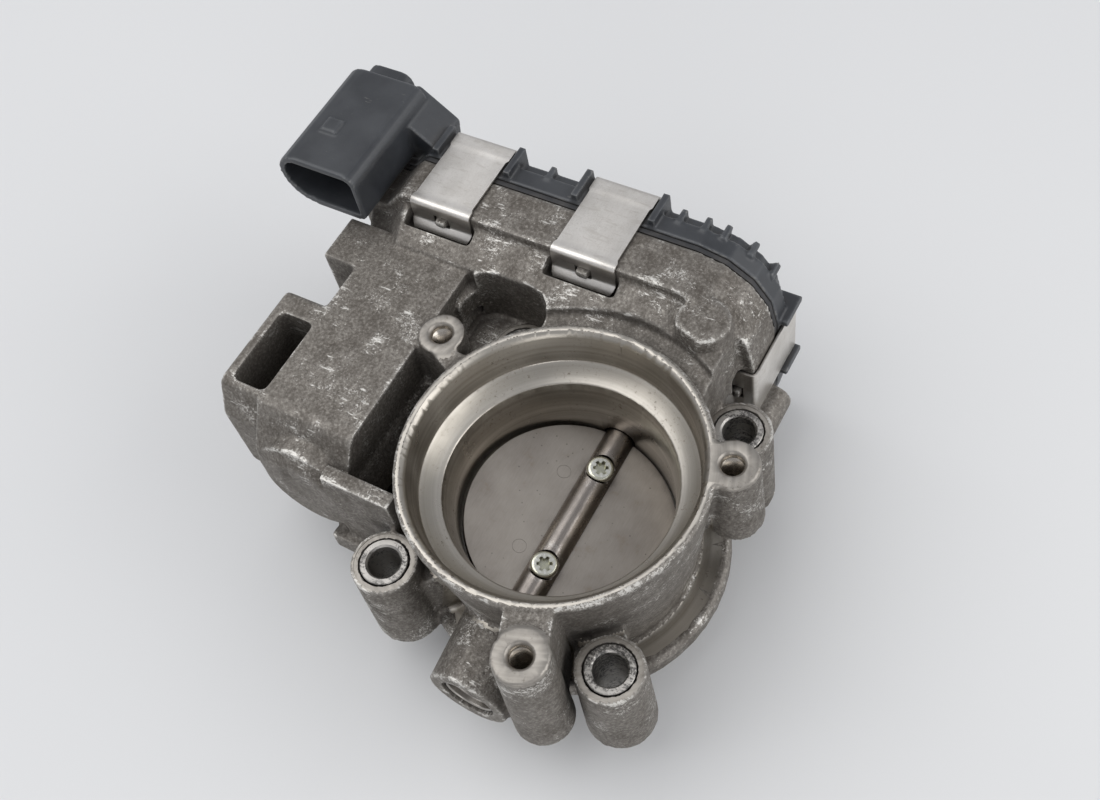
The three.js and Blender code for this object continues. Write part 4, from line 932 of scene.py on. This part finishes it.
# ---- Cover clips
# Bright strips of rolled stainless steel, bent over the joint. Each has a waist, soft bends, a foot
# folded outwards under a lug of the case, and a small slot that snaps over the lug.
def rolled_stainless(name, turn):
    """Stainless strip whose fine rolling lines run along X turned about X by turn, with painted shade mixed with
    dirt in its corners.
    """
    material, tree, place = new_material(name)
    rolled = noise(tree, stretched(tree, place, (0.05, 1.0, 1.0), (turn, 0, 0)), 0.00012, 4.0, 0.6)
    cloud = noise(tree, place, 0.008, 5.0, 0.6)
    wear = effect(tree, rubbed_wear, speckle_size=0.0004, amount=0.25)
    grime_and_shade = effect(tree, corner_grime_and_shade, reach=0.0015, amount=0.6)
    tone = tint(tree, ramp(tree, cloud, 0.35, 0.68), (0.72, 0.69, 0.65), (0.58, 0.55, 0.51))
    tone = tint(tree, ramp(tree, rolled, 0.3, 0.7, 0.0, 0.3), tone, (0.78, 0.76, 0.72))
    tone = tint(tree, times(tree, wear["Speckle"], 0.3), tone, (0.42, 0.38, 0.33))
    # Painted shade: corners darkened by how closed in they are, mixed with blotchy dirt.
    colour = tint(tree, grime_and_shade["Mask"], tone, (0.06, 0.05, 0.04))
    rough = ramp(tree, rolled, 0.3, 0.7, 0.32, 0.44)
    return coat(material, colour, rough, rolled, 0.000005, 1.0)


def rolled_line(corners, radii, steps=8):
    """Points along a bent line of (x, z) corners, each corner rounded by its radius."""
    points = [Vector(corners[0])]
    for before, corner, after, radius in zip(corners, corners[1:], corners[2:], radii):
        a = (Vector(before) - Vector(corner)).normalized()
        b = (Vector(after) - Vector(corner)).normalized()
        half = a.angle(b) / 2
        reach = radius / math.tan(half)
        centre = Vector(corner) + (a + b).normalized() * (radius / math.sin(half))
        start = Vector(corner) + a * reach - centre
        end = Vector(corner) + b * reach - centre
        for k in range(steps + 1):
            points.append(centre + start.lerp(end, k / steps).normalized() * radius)
    points.append(Vector(corners[-1]))
    return points


clip_low, clip_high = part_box("cover_clip_1")
strip_thick = 0.6 * MM
clip_half = (clip_high.y - clip_low.y) / 2
clip_top = clip_high.z
nose_low, nose_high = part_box("cover_clip_3")
clip_places = [(sum(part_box(f"cover_clip_{i}"), Vector()).y / 2, clip_top, 0.0) for i in (1, 2)]
clip_places.append((nose_low.y, (nose_low.z + nose_high.z) / 2, math.radians(90)))


def clip_strip(name):
    """The bent strip, its outer face at height 0 and its middle on the X axis."""
    face_x = clip_high.x - strip_thick / 2
    foot_x = clip_low.x + 2.45 * MM
    middle = -strip_thick / 2
    corners = [(face_x, -7.1 * MM), (face_x, middle), (foot_x, middle), (foot_x, -6.0 * MM),
               (foot_x - 2.2 * MM, -8.0 * MM)]
    line = rolled_line(corners, [0.9 * MM, 1.1 * MM, 1.5 * MM])
    fine = []
    for a, b in zip(line, line[1:]):
        count = max(1, int((b - a).length / (0.8 * MM)))
        fine += [a.lerp(b, k / count) for k in range(count)]
    fine.append(line[-1])
    made = bmesh.new()
    rings = []
    for k, point in enumerate(fine):
        ahead = fine[min(k + 1, len(fine) - 1)] - fine[max(k - 1, 0)]
        normal = Vector((-ahead.y, ahead.x)).normalized() * (strip_thick / 2)
        half = clip_half
        if foot_x + 2.6 * MM < point.x < face_x - 4.2 * MM:
            half -= 0.45 * MM
        nearly_end = min(k, len(fine) - 1 - k)
        half -= (0.9 * MM, 0.3 * MM)[nearly_end] if nearly_end < 2 else 0.0
        ring = []
        for side, off in ((-1, 1), (1, 1), (1, -1), (-1, -1)):
            spot = point + normal * off
            ring.append(made.verts.new((spot.x, side * half, spot.y)))
        rings.append(ring)
    for a, b in zip(rings, rings[1:]):
        for k in range(4):
            n = (k + 1) % 4
            made.faces.new((a[k], a[n], b[n], b[k]))
    made.faces.new(rings[0])
    made.faces.new(rings[-1])
    bmesh.ops.recalc_face_normals(made, faces=made.faces)
    strip = piece_of(made, name)
    slot_low = (foot_x - 4 * MM, -2.2 * MM, -6.2 * MM)
    cut_by(strip, block("clip_slot", slot_low, (foot_x + 1.6 * MM, 2.2 * MM, -3.3 * MM)))
    edge = strip.modifiers.new("edge", "BEVEL")
    edge.width = 0.09 * MM
    edge.segments = 2
    edge.angle_limit = math.radians(50)
    settle(strip)
    smooth_by_angle(strip, 40)
    return strip


for number, (y, z, turn) in enumerate(clip_places, 1):
    clip = clip_strip(f"spring_clip_{number}")
    clip.data.transform(Matrix.Translation((0, y, z)) @ Matrix.Rotation(turn, 4, "X"))
    bright = rolled_stainless(f"rolled_stainless_{number}", -turn)
    dress(clip, f"cover_clip_{number}", bright, "housing")


# ---- Gear train
# The sector gear on the shaft's end and the intermediate gear on its steel pin are moulded in
# glass-filled nylon and lightly greased. The motor's pinion is sintered brass.
def gear_nylon():
    material, tree, place = new_material("gear_nylon")
    grain = effect(tree, surface_grain, grain_size=0.00025, pits=0.3)
    cloud = noise(tree, place, 0.006, 5.0, 0.6)
    grease = ramp(tree, noise(tree, place, 0.004, 3.0, 0.5, 1.2), 0.50, 0.62)
    grime_and_shade = effect(tree, corner_grime_and_shade, reach=0.002, amount=0.5)
    tone = tint(tree, ramp(tree, cloud, 0.35, 0.65), (0.62, 0.58, 0.47), (0.52, 0.47, 0.36))
    tone = tint(tree, times(tree, grease, 0.45), tone, (0.40, 0.31, 0.15))
    # Painted shade: corners and tooth roots darkened by how closed in they are, mixed with blotchy dirt.
    colour = tint(tree, grime_and_shade["Mask"], tone, (0.16, 0.12, 0.08))
    rough = sums(tree, "SUBTRACT", 0.50, times(tree, grease, 0.3))
    return coat(material, colour, rough, grain["Height"], 0.00002)


nylon = gear_nylon()
rounded_part("sector_gear", "sector_moulding", nylon, "throttle",
             0.12 * MM, 2, 40)
rounded_part("intermediate_gear", "intermediate_moulding", nylon, "intermediate",
             0.12 * MM, 2, 40)
rounded_part("intermediate_gear_pin", "gear_pin", bearing_metal, "housing", 0.25 * MM)


def sintered_brass():
    """Fine-grained brass, tarnished in patches, with painted shade mixed with dirt in its corners."""
    material, tree, place = new_material("sintered_brass")
    grain = effect(tree, surface_grain, grain_size=0.00012, pits=0.5)
    cloud = noise(tree, place, 0.003, 5.0, 0.65)
    grime_and_shade = effect(tree, corner_grime_and_shade, reach=0.0015, amount=0.7)
    tone = tint(tree, ramp(tree, cloud, 0.38, 0.66), (0.66, 0.50, 0.24), (0.45, 0.33, 0.15))
    # Painted shade: corners and tooth roots darkened by how closed in they are, mixed with blotchy dirt.
    colour = tint(tree, grime_and_shade["Mask"], tone, (0.07, 0.05, 0.03))
    rough = ramp(tree, cloud, 0.3, 0.7, 0.30, 0.48)
    return coat(material, colour, rough, grain["Height"], 0.00002, 1.0)


rounded_part("motor_pinion", "pinion_teeth", sintered_brass(), "motor_rotor",
             0.1 * MM, 2, 40)


# ---- Return spring
# A torsion spring of oil-tempered wire coiled round the bearing's seat, with a hook at each end.
def spring_steel():
    material, tree, place = new_material("oil_tempered_wire")
    cloud = noise(tree, place, 0.002, 5.0, 0.6)
    drawn = noise(tree, place, 0.00015, 3.0, 0.6)
    tone = tint(tree, ramp(tree, cloud, 0.35, 0.65), (0.17, 0.16, 0.16), (0.09, 0.085, 0.09))
    colour = tint(tree, ramp(tree, drawn, 0.5, 0.7, 0.0, 0.4), tone, (0.30, 0.29, 0.28))
    rough = ramp(tree, cloud, 0.3, 0.7, 0.22, 0.36)
    return coat(material, colour, rough, drawn, 0.000006, 1.0)


def rule_tree(name, numbers, material):
    """A Geometry Nodes tree with float inputs {name: value} that ends realized and dressed."""
    tree = bpy.data.node_groups.new(name, "GeometryNodeTree")
    tree.interface.new_socket("Geometry", in_out="OUTPUT", socket_type="NodeSocketGeometry")
    for key in numbers:
        tree.interface.new_socket(key, in_out="INPUT", socket_type="NodeSocketFloat")
    given = tree.nodes.new("NodeGroupInput").outputs
    real = shade(tree, "GeometryNodeRealizeInstances")
    paint = shade(tree, "GeometryNodeSetMaterial", {
        "Geometry": real.outputs[0], "Material": material})
    result = tree.nodes.new("NodeGroupOutput")
    tree.links.new(paint.outputs[0], result.inputs[0])
    return tree, given, real.inputs[0]


def made_by_rule(name, tree, numbers):
    """A piece whose mesh the tree makes from numbers."""
    piece = new_piece(name, bpy.data.meshes.new(name))
    rule = piece.modifiers.new("rule", "NODES")
    rule.node_group = tree
    for item in tree.interface.items_tree:
        if item.item_type == "SOCKET" and item.in_out == "INPUT":
            rule[item.identifier] = numbers[item.name]
    return settle(piece)


spring_low, spring_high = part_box("return_spring")
wire_r = 0.7 * MM
spring_numbers = {
    "Radius": (spring_high.y - spring_low.y) / 2 - wire_r,
    "Wire Radius": wire_r,
    "Turns": 3.0,
    "Length": spring_high.x - spring_low.x - 2 * wire_r,
}
spring_tree, given, last = rule_tree("coiled_spring", spring_numbers, spring_steel())
coil = shade(spring_tree, "GeometryNodeCurveSpiral", {
    "Resolution": 96, "Rotations": given["Turns"], "Start Radius": given["Radius"],
    "End Radius": given["Radius"], "Height": given["Length"]})
routes = shade(spring_tree, "GeometryNodeJoinGeometry")
spring_tree.links.new(coil.outputs[0], routes.inputs[0])
for height in (0.0, given["Length"]):
    start = shade(spring_tree, "ShaderNodeCombineXYZ", {0: given["Radius"], 2: height})
    hook = shade(spring_tree, "GeometryNodeCurvePrimitiveLine", {
        "Direction": (1.0, 0.0, 0.0), "Length": 3.2 * MM, "Start": start.outputs[0]},
        mode="DIRECTION")
    spring_tree.links.new(hook.outputs[0], routes.inputs[0])
wire = shade(spring_tree, "GeometryNodeCurvePrimitiveCircle", {
    "Resolution": 20, "Radius": given["Wire Radius"]})
swept = shade(spring_tree, "GeometryNodeCurveToMesh", {
    "Curve": routes.outputs[0], "Profile Curve": wire.outputs[0], "Fill Caps": True})
spring_tree.links.new(swept.outputs[0], last)
spring = made_by_rule("return_coil", spring_tree, spring_numbers)
spring.data.transform(
    Matrix.Translation((spring_low.x + wire_r, 0, shaft_z))
    @ Matrix.Rotation(math.radians(90), 4, "Y") @ Matrix.Rotation(math.radians(180), 4, "Z"))
smooth_by_angle(spring, 40)
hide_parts("return_spring")
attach(spring, "housing")


# ---- Drive motor
# A small direct-current motor in a drawn steel can: arc magnets, wound rotor with its commutator,
# carbon brushes, and a plated face plate held by two screws, with two blades up to the cover.
drawn_can = ground_steel("drawn_can", (0.46, 0.45, 0.43), (0.34, 0.33, 0.31), 0.30, 0.6)


def dark_block(name, colour, gleam):
    """Sintered ferrite or carbon: dark grey, fine-grained, with pale rubbed corners."""
    material, tree, place = new_material(name)
    grain = effect(tree, surface_grain, grain_size=0.00015, pits=0.7)
    wear = effect(tree, rubbed_wear, speckle_size=0.0003, amount=0.6)
    cloud = noise(tree, place, 0.003, 5.0, 0.6)
    tone = tint(tree, ramp(tree, cloud, 0.35, 0.65), colour, tuple(c * 1.8 for c in colour))
    colour = tint(tree, wear["Edge"], tone, (0.16, 0.155, 0.15))
    rough = ramp(tree, cloud, 0.3, 0.7, gleam, gleam + 0.15)
    return coat(material, colour, rough, grain["Height"], 0.00002)


def wound_core():
    """Laminated core whose lacquered copper shows between the sheets' edges."""
    material, tree, place = new_material("wound_core")
    parts = shade(tree, "ShaderNodeSeparateXYZ", {0: place}).outputs
    sheets = sums(tree, "PINGPONG", parts[0], 0.00025)
    line = ramp(tree, sheets, 0.0, 0.00006, 1.0, 0.0)
    cloud = noise(tree, place, 0.003, 5.0, 0.6)
    wires = noise(tree, stretched(tree, place, (0.1, 1.0, 1.0)), 0.0004, 2.0)
    copper = tint(tree, ramp(tree, wires, 0.4, 0.6), (0.55, 0.20, 0.08), (0.30, 0.10, 0.04))
    steel = tint(tree, ramp(tree, cloud, 0.35, 0.65), (0.30, 0.29, 0.28), (0.20, 0.19, 0.18))
    tone = tint(tree, ramp(tree, cloud, 0.44, 0.56), steel, copper)
    colour = tint(tree, line, tone, (0.05, 0.045, 0.04))
    rough = ramp(tree, cloud, 0.3, 0.7, 0.28, 0.45)
    return coat(material, colour, rough, sheets, 0.00005, 0.9)


ferrite = dark_block("sintered_ferrite", (0.030, 0.030, 0.032), 0.45)
carbon = dark_block("brush_carbon", (0.018, 0.017, 0.017), 0.35)
motor_looks = [
    ("motor_can", "drawn_can_shell", drawn_can, "clip_steel", "housing", 0.5),
    ("motor_magnet_upper", "arc_magnet_upper", ferrite, "ferrite", "housing", 0.2),
    ("motor_magnet_lower", "arc_magnet_lower", ferrite, "ferrite", "housing", 0.2),
    ("motor_armature", "wound_rotor", wound_core(), "winding", "motor_rotor", 0.15),
    ("motor_shaft", "rotor_shaft", bearing_metal, "bearing_steel", "motor_rotor", 0.2),
    ("motor_brush_1", "carbon_brush_1", carbon, "ferrite", "housing", 0.15),
    ("motor_brush_2", "carbon_brush_2", carbon, "ferrite", "housing", 0.15),
    ("motor_face_plate", "face_plate", cap_metal, "tin_plate", "housing", 0.2),
    ("motor_terminal_1", "motor_blade_1", tin, "tin_plate", "housing", 0.15),
    ("motor_terminal_2", "motor_blade_2", tin, "tin_plate", "housing", 0.15),
    ("motor_screw_1", "face_screw_1", zinc, "plated_steel", "housing", 0.25),
    ("motor_screw_2", "face_screw_2", zinc, "plated_steel", "housing", 0.25),
]
for node, name, material, slot, body, edge in motor_looks:
    rounded_part(node, name, material, body, edge * MM)


# ---- Position sensor
# A magnet ring pressed on the shaft's end turns under a small circuit board inside the cover.
def solder_resist():
    """Green lacquered board with faint copper tracks and a row of solder spots."""
    material, tree, place = new_material("solder_resist")
    tracks = shade(tree, "ShaderNodeTexBrick", {
        "Vector": stretched(tree, place, (1, 1, 1), (0, math.radians(90), 0)),
        "Scale": 160.0, "Mortar Size": 0.06, "Mortar Smooth": 0.1}, offset=0.35)
    spots = shade(tree, "ShaderNodeTexVoronoi", {
        "Vector": place, "Scale": 300.0, "Randomness": 0.35})
    spot = ramp(tree, spots.outputs["Distance"], 0.16, 0.20, 1.0, 0.0)
    cloud = noise(tree, place, 0.005, 4.0)
    tone = tint(tree, ramp(tree, cloud, 0.35, 0.65), (0.012, 0.10, 0.045), (0.018, 0.13, 0.055))
    tone = tint(tree, times(tree, tracks.outputs["Fac"], 0.6), tone, (0.05, 0.22, 0.09))
    colour = tint(tree, spot, tone, (0.62, 0.62, 0.60))
    rough = ramp(tree, cloud, 0.3, 0.7, 0.22, 0.34)
    return coat(material, colour, rough, tracks.outputs["Fac"], 0.00003, spot)


rounded_part("sensor_rotor", "magnet_ring", ferrite, "throttle", 0.15 * MM)
rounded_part("sensor_board", "sensor_circuit", solder_resist(), "housing",
             0.1 * MM)
